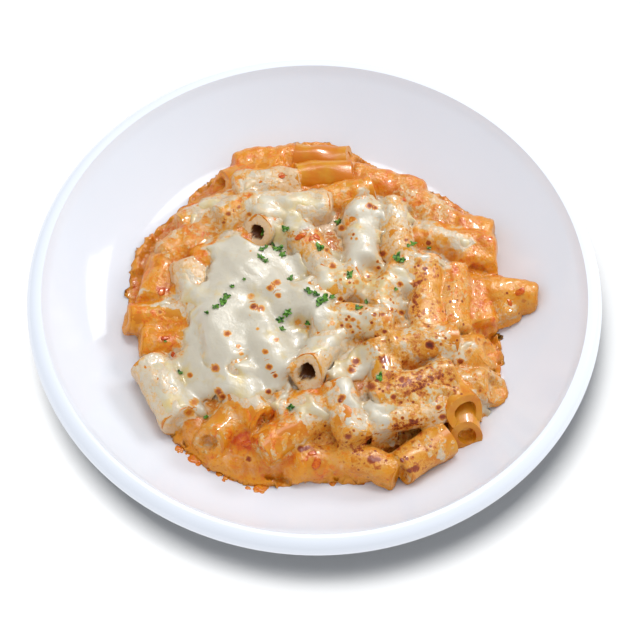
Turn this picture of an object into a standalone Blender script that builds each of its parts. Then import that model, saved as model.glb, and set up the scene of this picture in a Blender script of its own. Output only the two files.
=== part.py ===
"""Baked rigatoni in a white coupe plate.

Four solids, one on the other: the glazed plate, the pool of tomato cream sauce on its base,
the heap of pasta on the sauce, and the blanket of melted cheese on the heap.

The frame is +Z up, with the origin in the middle of the plate's foot, on the table. Sizes are in
millimetres and become metres where a mesh is made. -Y is the side that faces the diner.
"""

import math

import bmesh
import bpy

MM = 0.001

# The plate, turned round +Z.
PLATE_RADIUS = 135.0
PLATE_HEIGHT = 40.0
PLATE_SIDES = 56
BASE_TOP = 9.0
BASE_RADIUS = 88.0
BASE_UNDERSIDE = 4.2
WALL_CURVE = 1.9
LIP_WIDTH = 6.1
LIP_DROP = 5.5
LIP_ROLL = 4.5
LIP_ROLL_END = 50.0
FOOT_OUTER = 78.5
FOOT_INNER = 73.0
FOOT_EDGE = 0.6
OUTER_WALL_START = 82.0
OUTER_WALL_FOOT = 3.6

# The food's outline is round this point, a little behind the plate's middle.
FOOD_CENTRE_Y = 5.0

# The clearance between level faces, and the wider one between faces that follow the plate's curve.
GAP = 0.3
CURVE_GAP = 0.5

# The innermost ring under the sauce and the heap, as a share of their radius. The plate is flat there.
BASE_RING = 0.8

# The sauce pool. Its radii start at +X and go round anticlockwise in equal steps.
SAUCE_DEPTH = 3.0
SAUCE_FILM = 0.4
SAUCE_CELLS = 16
SAUCE_EDGE_CURVE = 6.0
SAUCE_SHOULDER = 0.97
SAUCE_RADII = (
    (90, 91, 92, 86, 86, 87)
    + (93, 92, 90, 87, 87, 90)
    + (90, 86, 92, 94, 97, 96)
    + (91, 92, 99, 101, 99, 92)
)

# The heap. Its tubes of pasta lie over a mound that is lowest at the edge.
HEAP_CELLS = 38
HEAP_INSET = 3.0
HEAP_EDGE_LIFT = 5.5
MOUND_TOP = 31.0
MOUND_EDGE_TOP = 18.5
MOUND_CURVE = 2.5
HEAP_SHOULDER = 0.955
TUBE_RADIUS = 8.0
TUBE_LENGTH = 42.0

# Each tube at the surface: the x, y and z of its middle, and its heading from +X.
SURFACE_TUBES = (
    (-28, 72, 18, 10),
    (5, 76, 21, -2),
    (0, 90, 16, -5),
    (-33, 43, 27, 17),
    (-12, 42, 29, 18),
    (-12, 57, 26, 0),
    (-64, 33, 20, 35),
    (-49, 26, 23, 40),
    (-72, 14, 19, 80),
    (-57, 4, 24, 65),
    (-70, -12, 18, 0),
    (-68, -49, 20, -58),
    (-36, -68, 20, 40),
    (-30, -54, 24, -55),
    (10, -30, 31, 55),
    (14, -13, 30, -5),
    (53, -1, 27, 88),
    (67, 5, 22, 100),
    (82, 9, 18, 10),
    (66, 36, 21, -12),
    (76, 22, 19, 10),
    (52, 55, 19, -35),
    (33, 72, 17, -15),
    (20, 58, 24, 15),
    (40, 41, 27, 95),
    (37, 13, 29, 60),
    (0, 26, 30, -60),
    (46, -46, 26, 18),
    (16, -59, 27, -75),
    (38, -62, 23, 20),
    (-7, -70, 22, 50),
    (46, -80, 17, 60),
    (65, -48, 21, 130),
    (70, -22, 20, 10),
    (-42, -28, 26, -70),
    (-20, -28, 28, -60),
    (-36, 12, 27, 75),
)

# The arm of sauced pasta that reaches past the heap's right side.
ARM_HEADING = 3.0
ARM_HALF_WIDTH = 4.5
ARM_SIDE = 3.0
ARM_REACH = 15.0

# The melted cheese, inside one ring of the heap's cells. Its radii run as the sauce's do.
CHEESE_THICKNESS = 2.2
CHEESE_RING = 13
CHEESE_RADII = (
    (74, 66, 60, 54, 54, 56)
    + (58, 62, 64, 64, 60, 54)
    + (58, 66, 78, 82, 68, 64)
    + (68, 72, 78, 80, 82, 78)
)


def clear_scene():
    for obj in list(bpy.data.objects):
        bpy.data.objects.remove(obj, do_unlink=True)


def material(name, colour, roughness):
    made = bpy.data.materials.new(name)
    made.use_nodes = True
    shader = made.node_tree.nodes["Principled BSDF"]
    shader.inputs["Base Color"].default_value = (*colour, 1.0)
    shader.inputs["Roughness"].default_value = roughness
    shader.inputs["Metallic"].default_value = 0.0
    return made


def add_object(name, mesh, collection, finish):
    obj = bpy.data.objects.new(name, mesh)
    collection.objects.link(obj)
    mesh.materials.append(finish)
    return obj


def smooth_step(t):
    t = min(1.0, max(0.0, t))
    return t * t * (3.0 - 2.0 * t)


def radius_at(radii, heading):
    """The outline's radius at a heading in degrees, eased between the two nearest named radii."""
    place = (heading % 360.0) / 360.0 * len(radii)
    first = int(place) % len(radii)
    second = (first + 1) % len(radii)
    share = smooth_step(place - int(place))
    return radii[first] * (1.0 - share) + radii[second] * share


def inner_height(radius):
    """The height of the plate's upper surface: a flat base, then a wall that steepens to the lip."""
    reach = PLATE_RADIUS - LIP_WIDTH - BASE_RADIUS
    share = max(0.0, radius - BASE_RADIUS) / reach
    return BASE_TOP + (PLATE_HEIGHT - BASE_TOP) * share**WALL_CURVE


def plate_profile():
    """(radius, height) from the middle of the base out over the lip and back under to the axis."""
    lip_centre = PLATE_RADIUS - LIP_WIDTH
    roll_centre = PLATE_RADIUS - LIP_ROLL
    equator = PLATE_HEIGHT - LIP_DROP
    points = [(0.0, BASE_TOP), (BASE_RADIUS, BASE_TOP)]
    for radius in (95, 102, 109, 116, 122, 126.5):
        points.append((radius, inner_height(radius)))
    for degrees in (96, 74, 52, 30, 8):
        turn = math.radians(degrees)
        points.append((lip_centre + LIP_WIDTH * math.cos(turn), equator + LIP_DROP * math.sin(turn)))
    for degrees in (-20, -LIP_ROLL_END):
        turn = math.radians(degrees)
        points.append((roll_centre + LIP_ROLL * math.cos(turn), equator + LIP_ROLL * math.sin(turn)))
    roll_radius, roll_height = points[-1]
    for radius in (125, 115, 104, 93):
        share = (radius - OUTER_WALL_START) / (roll_radius - OUTER_WALL_START)
        points.append((radius, OUTER_WALL_FOOT + (roll_height - OUTER_WALL_FOOT) * share**WALL_CURVE))
    points += [
        (FOOT_OUTER + 2.0, OUTER_WALL_FOOT - 1.2),
        (FOOT_OUTER + FOOT_EDGE, FOOT_EDGE),
        (FOOT_OUTER, 0.0),
        (FOOT_INNER, 0.0),
        (FOOT_INNER - FOOT_EDGE, FOOT_EDGE),
        (FOOT_INNER - 3.0, BASE_UNDERSIDE),
        (0.0, BASE_UNDERSIDE),
    ]
    return points


def make_plate(collection):
    mesh = bpy.data.meshes.new("plate")
    bm = bmesh.new()
    verts = [bm.verts.new((radius * MM, 0.0, height * MM)) for radius, height in plate_profile()]
    for first, second in zip(verts, verts[1:]):
        bm.edges.new((first, second))
    bm.to_mesh(mesh)
    bm.free()
    glaze = material("white_glaze", (0.86, 0.87, 0.90), 0.12)
    plate = add_object("plate", mesh, collection, glaze)
    turn = plate.modifiers.new("turn", "SCREW")
    turn.steps = PLATE_SIDES
    turn.render_steps = PLATE_SIDES
    turn.use_merge_vertices = True
    turn.merge_threshold = 0.0001
    turn.use_smooth_shade = True


def to_disc(u, v):
    """The point of the unit disc that stands for a point of a square from -1 to 1, each ring on a ring."""
    if abs(u) > abs(v):
        return u * math.cos(math.pi / 4.0 * v / u), u * math.sin(math.pi / 4.0 * v / u)
    if v == 0.0:
        return 0.0, 0.0
    return v * math.sin(math.pi / 4.0 * u / v), v * math.cos(math.pi / 4.0 * u / v)


def disc_body(cells, shoulder):
    """A closed disc of radius 1 and height 2: a grid on top at z 1, its rim at z 0, and a base at z -1.

    The shoulder is the radius at which the top and the base turn into the side."""
    bm = bmesh.new()
    bmesh.ops.create_grid(bm, x_segments=cells, y_segments=cells, size=1.0)
    for vert in bm.verts:
        x, y = to_disc(vert.co.x, vert.co.y)
        vert.co = (x * shoulder, y * shoulder, 1.0)
    edges = [edge for edge in bm.edges if edge.is_boundary]
    rim_and_base = ((1.0, 0.0), (shoulder, -1.0), (2.0 * shoulder - 1.0, -1.0), (BASE_RING, -1.0))
    for reach, side in rim_and_base:
        made = bmesh.ops.extrude_edge_only(bm, edges=edges)["geom"]
        for vert in (item for item in made if isinstance(item, bmesh.types.BMVert)):
            turn = math.atan2(vert.co.y, vert.co.x)
            vert.co = (reach * math.cos(turn), reach * math.sin(turn), side)
        edges = [item for item in made if isinstance(item, bmesh.types.BMEdge)]
    bmesh.ops.contextual_create(bm, geom=edges)
    bmesh.ops.triangulate(bm, faces=bm.faces[:])
    bmesh.ops.recalc_face_normals(bm, faces=bm.faces[:])
    return bm


def polar(vert):
    """A disc vertex's side (1, 0 or -1), its share of the radius, and its heading in degrees."""
    heading = math.degrees(math.atan2(vert.co.y, vert.co.x))
    return round(vert.co.z), math.hypot(vert.co.x, vert.co.y), heading


def food_point(radius, heading):
    """The x and y of a point at a radius and heading from the food's own centre."""
    turn = math.radians(heading)
    return radius * math.cos(turn), radius * math.sin(turn) + FOOD_CENTRE_Y


def sauce_top(x, y, share):
    """The sauce's upper side: a level pool with a rounded edge, and a thin film where the plate rises."""
    pool = BASE_TOP + CURVE_GAP + SAUCE_DEPTH * (1.0 - share**SAUCE_EDGE_CURVE)
    film = inner_height(math.hypot(x, y)) + CURVE_GAP + SAUCE_FILM
    return max(pool, film)


def make_sauce(collection):
    bm = disc_body(SAUCE_CELLS, SAUCE_SHOULDER)
    for vert in bm.verts:
        side, share, heading = polar(vert)
        x, y = food_point(share * radius_at(SAUCE_RADII, heading), heading)
        underside = inner_height(math.hypot(x, y)) + CURVE_GAP
        z = underside
        if side > 0:
            z = sauce_top(x, y, share)
        elif side == 0:
            z = underside + 0.5 * SAUCE_FILM
        vert.co = (x * MM, y * MM, z * MM)
    mesh = bpy.data.meshes.new("sauce_pool")
    bm.to_mesh(mesh)
    bm.free()
    add_object("sauce_pool", mesh, collection, material("tomato_cream_sauce", (0.78, 0.27, 0.06), 0.3))


def heap_radius(heading):
    """The heap's outline: inside the sauce's, but for the arm at its right."""
    off = abs((heading - ARM_HEADING + 180.0) % 360.0 - 180.0)
    arm = ARM_REACH * (1.0 - smooth_step((off - ARM_HALF_WIDTH) / ARM_SIDE))
    return radius_at(SAUCE_RADII, heading) - HEAP_INSET + arm


def ring_share(ring):
    """The share of the heap's radius at a ring of its cells, counted from the middle."""
    return ring * 2.0 / HEAP_CELLS * HEAP_SHOULDER


def cell_radius(share, heading):
    """The radius at a share of the way out: one ring of cells runs along the cheese's outline."""
    cheese_share = ring_share(CHEESE_RING)
    cheese = radius_at(CHEESE_RADII, heading)
    if share <= cheese_share:
        return cheese * share / cheese_share
    beyond = (share - cheese_share) / (1.0 - cheese_share)
    return cheese + (heap_radius(heading) - cheese) * beyond


def tube_top(x, y, tube):
    """The height of a lying tube's upper side over the point, or of nothing beside it."""
    middle_x, middle_y, middle_z, heading = tube
    turn = math.radians(heading)
    along = (x - middle_x) * math.cos(turn) + (y - middle_y) * math.sin(turn)
    across = (y - middle_y) * math.cos(turn) - (x - middle_x) * math.sin(turn)
    if abs(along) > TUBE_LENGTH / 2.0 or abs(across) >= TUBE_RADIUS:
        return 0.0
    return middle_z + math.sqrt(TUBE_RADIUS**2 - across**2)


def heap_top(x, y, share):
    """The heap's upper side: the highest tube over a point, or the mound between the tubes."""
    mound = MOUND_TOP - (MOUND_TOP - MOUND_EDGE_TOP) * share**MOUND_CURVE
    return max([mound] + [tube_top(x, y, tube) for tube in SURFACE_TUBES])


def heap_body():
    """The heap's bmesh in millimetres, and its upper faces inside the ring of the cheese's outline."""
    bm = disc_body(HEAP_CELLS, HEAP_SHOULDER)
    just_past_ring = ring_share(CHEESE_RING + 0.25)
    covered = []
    for face in bm.faces:
        if all(vert.co.z > 0.0 and math.hypot(vert.co.x, vert.co.y) < just_past_ring for vert in face.verts):
            covered.append(face)
    for vert in bm.verts:
        side, share, heading = polar(vert)
        x, y = food_point(cell_radius(share, heading), heading)
        pool = BASE_TOP + CURVE_GAP + SAUCE_DEPTH + GAP
        film = inner_height(math.hypot(x, y)) + 2.0 * CURVE_GAP + SAUCE_FILM
        z = max(pool, film)
        if side > 0:
            z = heap_top(x, y, share)
        elif side == 0:
            z += HEAP_EDGE_LIFT
        vert.co = (x, y, z)
    return bm, covered


def make_heap(collection):
    bm, _ = heap_body()
    bmesh.ops.scale(bm, vec=(MM, MM, MM), verts=bm.verts[:])
    mesh = bpy.data.meshes.new("pasta_heap")
    bm.to_mesh(mesh)
    bm.free()
    add_object("pasta_heap", mesh, collection, material("sauced_pasta", (0.80, 0.42, 0.12), 0.45))


def make_cheese(collection):
    """The blanket: the heap's upper faces inside the cheese's outline, raised by the gap and thickened."""
    bm, covered = heap_body()
    bare = [face for face in bm.faces if face not in covered]
    bmesh.ops.delete(bm, geom=bare, context="FACES")
    bmesh.ops.translate(bm, vec=(0.0, 0.0, 2.0 * GAP), verts=bm.verts[:])
    bmesh.ops.scale(bm, vec=(MM, MM, MM), verts=bm.verts[:])
    mesh = bpy.data.meshes.new("melted_cheese")
    bm.to_mesh(mesh)
    bm.free()
    finish = material("melted_cheese", (0.86, 0.78, 0.58), 0.35)
    cheese = add_object("melted_cheese", mesh, collection, finish)
    blanket = cheese.modifiers.new("blanket", "SOLIDIFY")
    blanket.thickness = CHEESE_THICKNESS * MM
    blanket.offset = 1.0


def main():
    clear_scene()
    collection = bpy.data.collections.new("baked_pasta")
    bpy.context.scene.collection.children.link(collection)
    make_plate(collection)
    make_sauce(collection)
    make_heap(collection)
    make_cheese(collection)


main()
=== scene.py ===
import math
import random

import bpy
import numpy as np
from mathutils import Matrix, Vector


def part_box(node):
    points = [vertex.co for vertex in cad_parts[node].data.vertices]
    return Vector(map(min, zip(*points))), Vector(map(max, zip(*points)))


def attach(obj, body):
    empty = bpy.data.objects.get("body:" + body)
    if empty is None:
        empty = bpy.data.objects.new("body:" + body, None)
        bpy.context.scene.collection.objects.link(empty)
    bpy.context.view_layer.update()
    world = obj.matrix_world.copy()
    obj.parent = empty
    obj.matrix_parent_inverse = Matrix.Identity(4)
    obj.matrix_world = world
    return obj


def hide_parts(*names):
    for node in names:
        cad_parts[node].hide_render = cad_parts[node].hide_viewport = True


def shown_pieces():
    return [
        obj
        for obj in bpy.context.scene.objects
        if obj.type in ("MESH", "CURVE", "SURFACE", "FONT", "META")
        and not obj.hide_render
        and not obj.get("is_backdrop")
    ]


bl_info = {
    "name": "Baked rigatoni in a coupe plate",
    "version": (1, 0, 0),
    "blender": (4, 5, 0),
    "location": "View3D > Sidebar > Baked Pasta",
    "description": "Makes the looks of a plate of baked rigatoni round its packed solids",
    "category": "Add Mesh",
}

# Sizes in this file are in millimetres, and become metres where a mesh is made.
MM = 0.001

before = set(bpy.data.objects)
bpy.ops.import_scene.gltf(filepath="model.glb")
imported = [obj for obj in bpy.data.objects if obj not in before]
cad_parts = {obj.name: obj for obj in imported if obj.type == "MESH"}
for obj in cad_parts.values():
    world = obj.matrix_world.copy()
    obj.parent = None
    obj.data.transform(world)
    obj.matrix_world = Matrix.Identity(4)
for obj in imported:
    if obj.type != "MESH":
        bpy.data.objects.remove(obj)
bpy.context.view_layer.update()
PLATE_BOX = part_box("plate")
SAUCE_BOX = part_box("sauce_pool")
HEAP_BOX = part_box("pasta_heap")

# The plate, as the solid has it.
PLATE_RADIUS = round(PLATE_BOX[1].x / MM)
PLATE_HEIGHT = round(PLATE_BOX[1].z / MM, 1)
CURVE_GAP = 0.5
BASE_TOP = round(SAUCE_BOX[0].z / MM - CURVE_GAP, 1)
BASE_RADIUS = 88.0
BASE_UNDERSIDE = 4.2
WALL_CURVE = 1.9
LIP_WIDTH = 6.1
LIP_DROP = 5.5
LIP_ROLL = 4.5
LIP_ROLL_END = 50.0
FOOT_OUTER = 78.5
FOOT_INNER = 73.0
OUTER_WALL_START = 82.0
OUTER_WALL_FOOT = 3.6

# The food is laid out as the diner sees it: across, and up the view at the height of LEVEL.
VIEW_ELEVATION = 59.894
LEAN = 1.0 / math.tan(math.radians(VIEW_ELEVATION))
LEVEL = 25.0
FOOD_CENTRE_Y = 5.0
# Where the camera aims at that height, how far off it stands, how many degrees it tilts, and its lens.
VIEW_AIM = (2.758, -11.775, LEVEL)
VIEW_DISTANCE = 850.0
VIEW_ROLL = 1.6704
VIEW_LENS = 101.21

# The sauce's outline round the food's centre, from +X anticlockwise in equal steps.
POOL_RADII = (
    (93, 91, 90, 91, 92, 92, 90, 87, 86, 86)
    + (88, 93, 95, 94, 92, 91, 90, 89, 88, 86)
    + (88, 91, 92, 91, 90, 89, 86, 87, 90, 93)
    + (96, 98, 99, 100, 100, 97, 93, 94, 97, 96)
    + (88, 84, 92, 98, 98, 96, 93, 88)
)

POOL_DEPTH = 1.2
# The sauce between the tubes rises to a mound of this height.
MOUND_TOP = 27.0
# Lumps of sauce round the pool's edge.
LUMP_COUNT = 30

# The tubes that show, as the diner sees them: across, up the view, the height of the middle, the heading
# from +X, the pitch, the length, the radius, how far the sauce stands proud of the pasta, how creamy the
# sauce is, how deep the bores at the start and at the end stand open, and how far a cut end leans back.
SHOWN_TUBES = (
    (-32, 70, 18.5, 20, 0, 34, 7.8, -0.1, 0.1, 8, 0, 20),
    (-26, 64.5, 22.5, 12, 0, 30, 7.4, 0.3, 0.7, 0, 0, 0),
    (2.5, 71, 22, 2, 0, 29, 7.9, -1.1, 0.1, 0, 6, 12),
    (0.5, 81.5, 17.8, -3, 0, 29, 7.4, -0.9, 0.1, 7, 0, 12),
    (-27, 79, 16.8, 14, 0, 30, 7.2, 0.5, 0.2, 0, 0, 0),
    (-38.5, 47.8, 27.5, 31, 0, 24, 7.9, 0.4, 0.55, 0, 0, 12),
    (-13, 50.5, 29, 3, 0, 37, 7.8, 0.3, 0.95, 0, 0, 0),
    (-21.2, 43.7, 28.7, 50, -12, 23, 7.6, 0.3, 0.9, 9, 0, 22),
    (-62, 28.5, 19.5, 32, 0, 28, 8.0, 0.6, 0.45, 0, 0, 0),
    (-54, 46, 17.8, 30, 0, 30, 7.6, 0.1, 0.45, 0, 0, 0),
    (-45.5, 25.2, 22.8, 36, 0, 28, 7.2, 0.3, 0.1, 0, 0, 0),
    (-75, 7, 17.5, 78, 0, 26, 7.6, 0.2, 0.3, 4, 0, 20),
    (-57, 2, 22.5, -70, 0, 30, 7.8, 0.6, 0.8, 0, 0, 0),
    (-73, -13, 17.5, 3, 0, 31, 7.8, 0.0, 0.1, 2, 0, 15),
    (-68, -26, 17, 8, 0, 26, 7.4, 0.2, 0.15, 0, 0, 0),
    (-69, -52.5, 19.5, -60, 0, 34, 8.8, 0.3, 0.9, 0, 0, 0),
    (-37.7, -66.9, 18.9, 58, -8, 30, 8.3, 0.0, 0.45, 5, 0, 22),
    (-31, -55.5, 24, -51, 0, 27, 7.7, 0.0, 0.3, 0, 2, 10),
    (-29, -76, 15.8, 93, 0, 22, 6.2, 0.3, 0.0, 6, 0, 25),
    (-8, -70.5, 22, 38, 0, 36, 8.4, 0.0, 0.5, 0, 0, 0),
    (8, -86, 15.5, 10, 0, 28, 6.6, 0.3, 0.3, 0, 0, 0),
    (-33, -88, 13, -8, 0, 24, 5.0, 0.4, 0.1, 0, 0, 0),
    (-55, -68, 13.5, -58, 0, 24, 6.0, 0.4, 0.1, 0, 0, 0),
    (26, -86, 17.2, -18, 0, 28, 7.6, 0.0, 0.2, 0, 0, 0),
    (-14, -84, 14.5, 8, 0, 28, 6.4, 0.4, 0.1, 0, 0, 0),
    (-9, -86.5, 13.5, -40, 0, 18, 5.6, 0.4, 0.1, 0, 0, 0),
    (-14, -88.5, 11, 2, 0, 34, 4.4, 0.3, 0.1, 0, 0, 0),
    (16, -89.5, 11, 6, 0, 30, 4.0, 0.3, 0.1, 0, 0, 0),
    (52, -80, 18.5, 37, 0, 26, 8.2, -0.1, 0.5, 0, 0, 0),
    (43, -60, 24.5, 14, 0, 36, 8.0, 0.2, 0.8, 0, 0, 0),
    (47, -45.5, 28.5, 22, 0, 38, 8.0, 0.2, 0.7, 0, 0, 0),
    (64, -48.7, 23.1, 120, -12, 28, 8.8, -0.6, 0.1, 7, 0, 25),
    (70.4, -60.3, 17.4, 98, 0, 22, 7.7, -0.9, 0.1, 5, 0, 25),
    (68, -28.5, 18.5, 8, 0, 28, 8.0, 0.2, 0.4, 0, 3, 38),
    (71, -44.5, 18, -4, 0, 28, 8.2, 0.3, 0.6, 0, 4, 38),
    (52.5, 3, 27.5, -89, 0, 39, 8.2, 0.1, 0.15, 0, 0, 0),
    (66, 1, 22.5, -88, 0, 34, 7.6, 0.4, 0.45, 0, 0, 0),
    (89, 6.5, 18, -6, 0, 33, 7.2, 0.4, 0.2, 0, 0, 0),
    (90, -2, 15.5, -60, 0, 13, 6.4, 0.4, 0.5, 0, 0, 0),
    (78, -3, 17.2, -78, 0, 22, 7.2, 0.3, 0.2, 0, 0, 0),
    (77, 26, 19.5, 93, 0, 19, 9.6, 0.4, 0.1, 2.5, 0, 25),
    (66, 34, 22, -10, 0, 38, 7.4, 0.7, 0.2, 0, 0, 0),
    (70, 43, 17.8, -16, 0, 30, 7.6, 0.8, 0.3, 0, 0, 0),
    (34, 66, 18.5, -16, 0, 34, 7.6, 0.8, 0.3, 0, 0, 0),
    (52, 54, 18, -38, 0, 30, 7.6, 0.6, 0.5, 0, 0, 0),
    (21, 37, 28, 94, 0, 34, 7.8, 0.3, 0.5, 0, 0, 0),
    (38, 40, 26.5, 97, 0, 32, 7.6, 0.3, 0.7, 0, 0, 0),
    (11, 58, 25, 20, 0, 32, 7.6, 0.2, 0.4, 0, 0, 0),
    (16, -60, 27.5, -73, 0, 29, 7.8, 0.2, 0.5, 0, 0, 0),
    (-2, -57.5, 22, 12, 0, 28, 7.6, 0.1, 0.05, 0, 0, 0),
    (3.6, -28.5, 29.6, 66, -14, 30, 7.9, 0.2, 0.8, 16, 0, 26),
    (18, -11.5, 29.5, -3, 0, 36, 7.7, 0.3, 0.5, 0, 0, 0),
    (51, -23, 27.5, 9, 0, 31, 7.6, 0.2, 0.5, 9, 0, 0),
    (33, -36, 26, -72, 0, 24, 7.4, 0.1, 0.6, 0, 0, 0),
    (37, 10, 28.5, 60, 0, 34, 7.6, 0.2, 0.6, 0, 0, 0),
    (-1, 24, 29, -58, 0, 36, 7.8, 0.3, 0.6, 0, 0, 0),
    (-38, 10, 26.5, 74, 0, 36, 7.8, 0.0, 0.5, 0, 0, 0),
    (-41, -27, 26.5, -70, 0, 36, 7.8, 0.0, 0.5, 0, 0, 0),
    (-21, -27, 28, -60, 0, 36, 7.8, 0.0, 0.5, 0, 0, 0),
    (-20, 3, 28.5, -38, 0, 34, 7.6, 0.0, 0.5, 0, 0, 0),
    (6, 4, 29.5, 24, 0, 34, 7.6, 0.1, 0.6, 0, 0, 0),
)
HIDDEN_TUBES = 14
HIDDEN_REACH = 52.0
HIDDEN_HEIGHT = 17.4
# A bore that stands open by this much or more gets painted shade deep inside it.
DEEP_BORE = 9
# How far the soft tubes have given way at most, and over what length.
SLUMP_DEPTH = 0.65
SLUMP_SIZE = 9.0

# Melted cheese, as the diner sees it: a stroke from point to point, its half width and its thickness.
CHEESE_STROKES = (
    (-38, 22, -34, -20, 13, 1.7), (-45, 2, -50, -45, 12, 1.6), (-12, -8, -11, -32, 6, 1.3),
    (-9, -16, -6, -19, 4.5, 0.7), (-40, -50, -24, -53, 5, 0.45), (-25, 0, -20, -34, 13, 1.7),
    (-44, -44, -26, -47, 7, 1.1), (-60, -38, -55, -58, 7, 1.2), (-73, -41, -62, -60, 8, 0.6),
    (-30, 26, -15, 16, 10, 1.6), (-12, 8, 0, -3, 9, 1.3), (-28, 51, -2, 53, 7, 0.7),
    (-36, 65, -27, 66, 4, 0.5), (-61, 47, -46, 55, 3.5, 0.7), (-19, 36, -10, 41, 7, 0.9),
    (22, 26, 22, 46, 9, 1.5), (24, 57, 44, 47, 4, 0.7), (53, 43, 70, 35, 3, 0.8),
    (47, 23, 60, 23, 3.5, 0.7), (2, -10, 27, -12, 6, 0.8), (0, -25, 10, -22, 6, 0.9),
    (14, -37, 26, -30, 7, 0.9), (14, -46, 20, -62, 5, 0.9), (-3, -58, 5, -61, 5, 0.8),
    (-10, -47, -16, -58, 3, 0.7), (10, 15, 38, 6, 12, 0.6), (56, -33, 72, -24, 4, 0.8),
    (30, -55, 60, -47, 5, 0.7), (30, -62, 34, -70, 5, 0.8), (76, -50, 82, -60, 3, 0.7),
    (-82, -4, -66, -2, 2.4, 0.8), (44, -27, 60, -22, 5, 0.5), (36, -8, 46, -14, 6, 0.5),
    (38, -36, 46, -33, 4, 0.5), (52, -74, 56, -80, 3, 0.5), (-60, 8, -58, -4, 5, 0.6),
)
# Creases in the cheese: a stroke, its half width and its depth.
CHEESE_CREASES = (
    (-55, -10, -53, -26, 1.1, 1.1), (-53, -26, -49, -37, 1.1, 1.1), (-49, -37, -43, -44, 1.3, 1.0),
    (-40, -22, -28, -38, 1.6, 0.6), (-20, -18, -12, -32, 1.6, 0.6), (-38, 16, -24, 4, 1.8, 0.6),
    (-14, 14, -4, 4, 1.6, 0.5), (-62, -44, -57, -60, 1.4, 0.4),
)
# Where the cheese lies thick and level: middle across and up the view, its height, and its half sizes.
CHEESE_BEDS = ((-37, -8, 20.0, 17.0, 42.0, 11.0), (-24, 20, 22.0, 14.0, 12.0, 9.0))

# Baked spots on the cheese and the pasta: across, up the view, radius and strength.
BAKED_SPOTS = (
    (-43, 46, 1.8, 0.6), (-38, 50, 1.6, 0.55), (-33, 46, 1.5, 0.5), (-45, 41, 1.2, 0.6),
    (-40, -20.5, 1.9, 0.55), (-45, -39, 2.3, 0.6), (-20, -37.5, 1.8, 0.6), (-17, -42, 1.3, 0.65),
    (-22, -29.5, 1.6, 0.5), (-17, -23, 1.3, 0.5), (-28.5, -5.5, 1.9, 0.75), (-25, -6.5, 2.0, 0.55),
    (-34.5, -27, 1.3, 0.4), (-33, -31, 1.2, 0.35), (-26, -17.5, 1.0, 0.3), (-57, -43.5, 1.6, 0.5),
    (-54, -57.5, 2.4, 0.42), (-56, -63, 2.6, 0.45), (-43, -51, 2.0, 0.6), (-41, -54, 1.8, 0.65),
    (-20, -50.5, 1.5, 0.85), (-21, 5, 1.9, 0.55), (-18, 8, 2.0, 0.5), (-17, 1, 1.6, 0.5),
    (-30, 0, 2.0, 0.35), (54, -23.5, 2.6, 1.0), (33, -32, 2.9, 0.8), (20, -33.5, 2.2, 0.75),
    (18, -38, 2.0, 0.65), (27, -46, 2.8, 0.65), (13, -54, 1.2, 0.95), (14, -52, 1.8, 0.6),
    (41, -42, 2.0, 0.8), (69, -32, 1.8, 0.8), (58, -56, 1.8, 0.7), (60, -61, 2.0, 0.75),
    (17, -72, 2.2, 0.7), (-4, -80, 2.2, 0.85), (-1, -79, 1.6, 0.8), (28, -84, 3.0, 0.75),
    (31, -84, 2.0, 0.7), (48, -88, 2.6, 0.75), (45, -89, 1.8, 0.7), (40, -78, 1.8, 0.6), (52, 18, 1.6, 0.9),
    (58, 18, 0.9, 0.75), (52, 12, 1.2, 0.6), (25, 13, 1.2, 0.75), (30, 18, 1.2, 0.65), (40, 9, 1.7, 0.6),
    (32, 26, 2.2, 0.65), (54, 33, 1.7, 0.8), (43, 34, 1.4, 0.7), (25, 53, 2.0, 0.7), (28, 52, 1.4, 0.65),
    (36, -5, 1.4, 0.55), (41, -6.5, 1.7, 0.65), (33, -17, 1.5, 0.7), (18, -11, 1.4, 0.5),
    (28, -8, 1.4, 0.65), (32, -8, 1.5, 0.6), (12, 0, 1.6, 0.6), (12, 40, 2.0, 0.6), (8, 18, 2.0, 0.55),
    (5, 27, 1.4, 0.6), (-73, -10, 1.4, 0.5), (-28, -86, 2.0, 0.7),
)

# How many of its radii a baked spot reaches, with its soft edge.
SPOT_REACH = 2.3

# Crusts that run along an edge: a stroke from point to point, its half width and its strength.
BAKED_STROKES = (
    (38, -46, 60, -39, 2.2, 0.85), (46, -47, 50, -44, 2.4, 0.8), (39, -67, 48, -64, 2.6, 0.9),
    (36, -74, 41, -72, 1.1, 0.95), (41, -72, 49, -71.5, 0.9, 0.9), (21, -80, 27, -74, 2.4, 0.9),
    (47, 10, 47, -6, 2.0, 0.75), (46, -3, 50, -9, 2.2, 0.75), (-14, 35, 1, 35, 2.4, 0.6),
    (60, -66, 66, -67, 1.2, 0.7), (-54, -18, -51, -38, 0.7, 0.4), (54, -84, 50, -89, 1.3, 0.7),
)

# Where the oven has speckled everything: a stroke, its half width and its strength.
TOASTED_STROKES = (
    (53, 18, 52, -15, 9, 0.75), (40, -25, 55, -30, 16, 0.7), (40, -45, 58, -42, 13, 0.85),
    (45, -66, 50, -82, 12, 0.75), (5, -75, 28, -82, 11, 0.75), (30, 10, 35, -12, 12, 0.55),
    (65, 5, 80, -30, 9, 0.55), (76, -28, 82, -46, 8, 0.6), (16, 12, 14, -10, 11, 0.5),
    (20, 40, 40, 35, 12, 0.35), (92, 8, 100, 4, 9, 0.5), (-15, -70, 0, -66, 10, 0.35),
)

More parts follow.
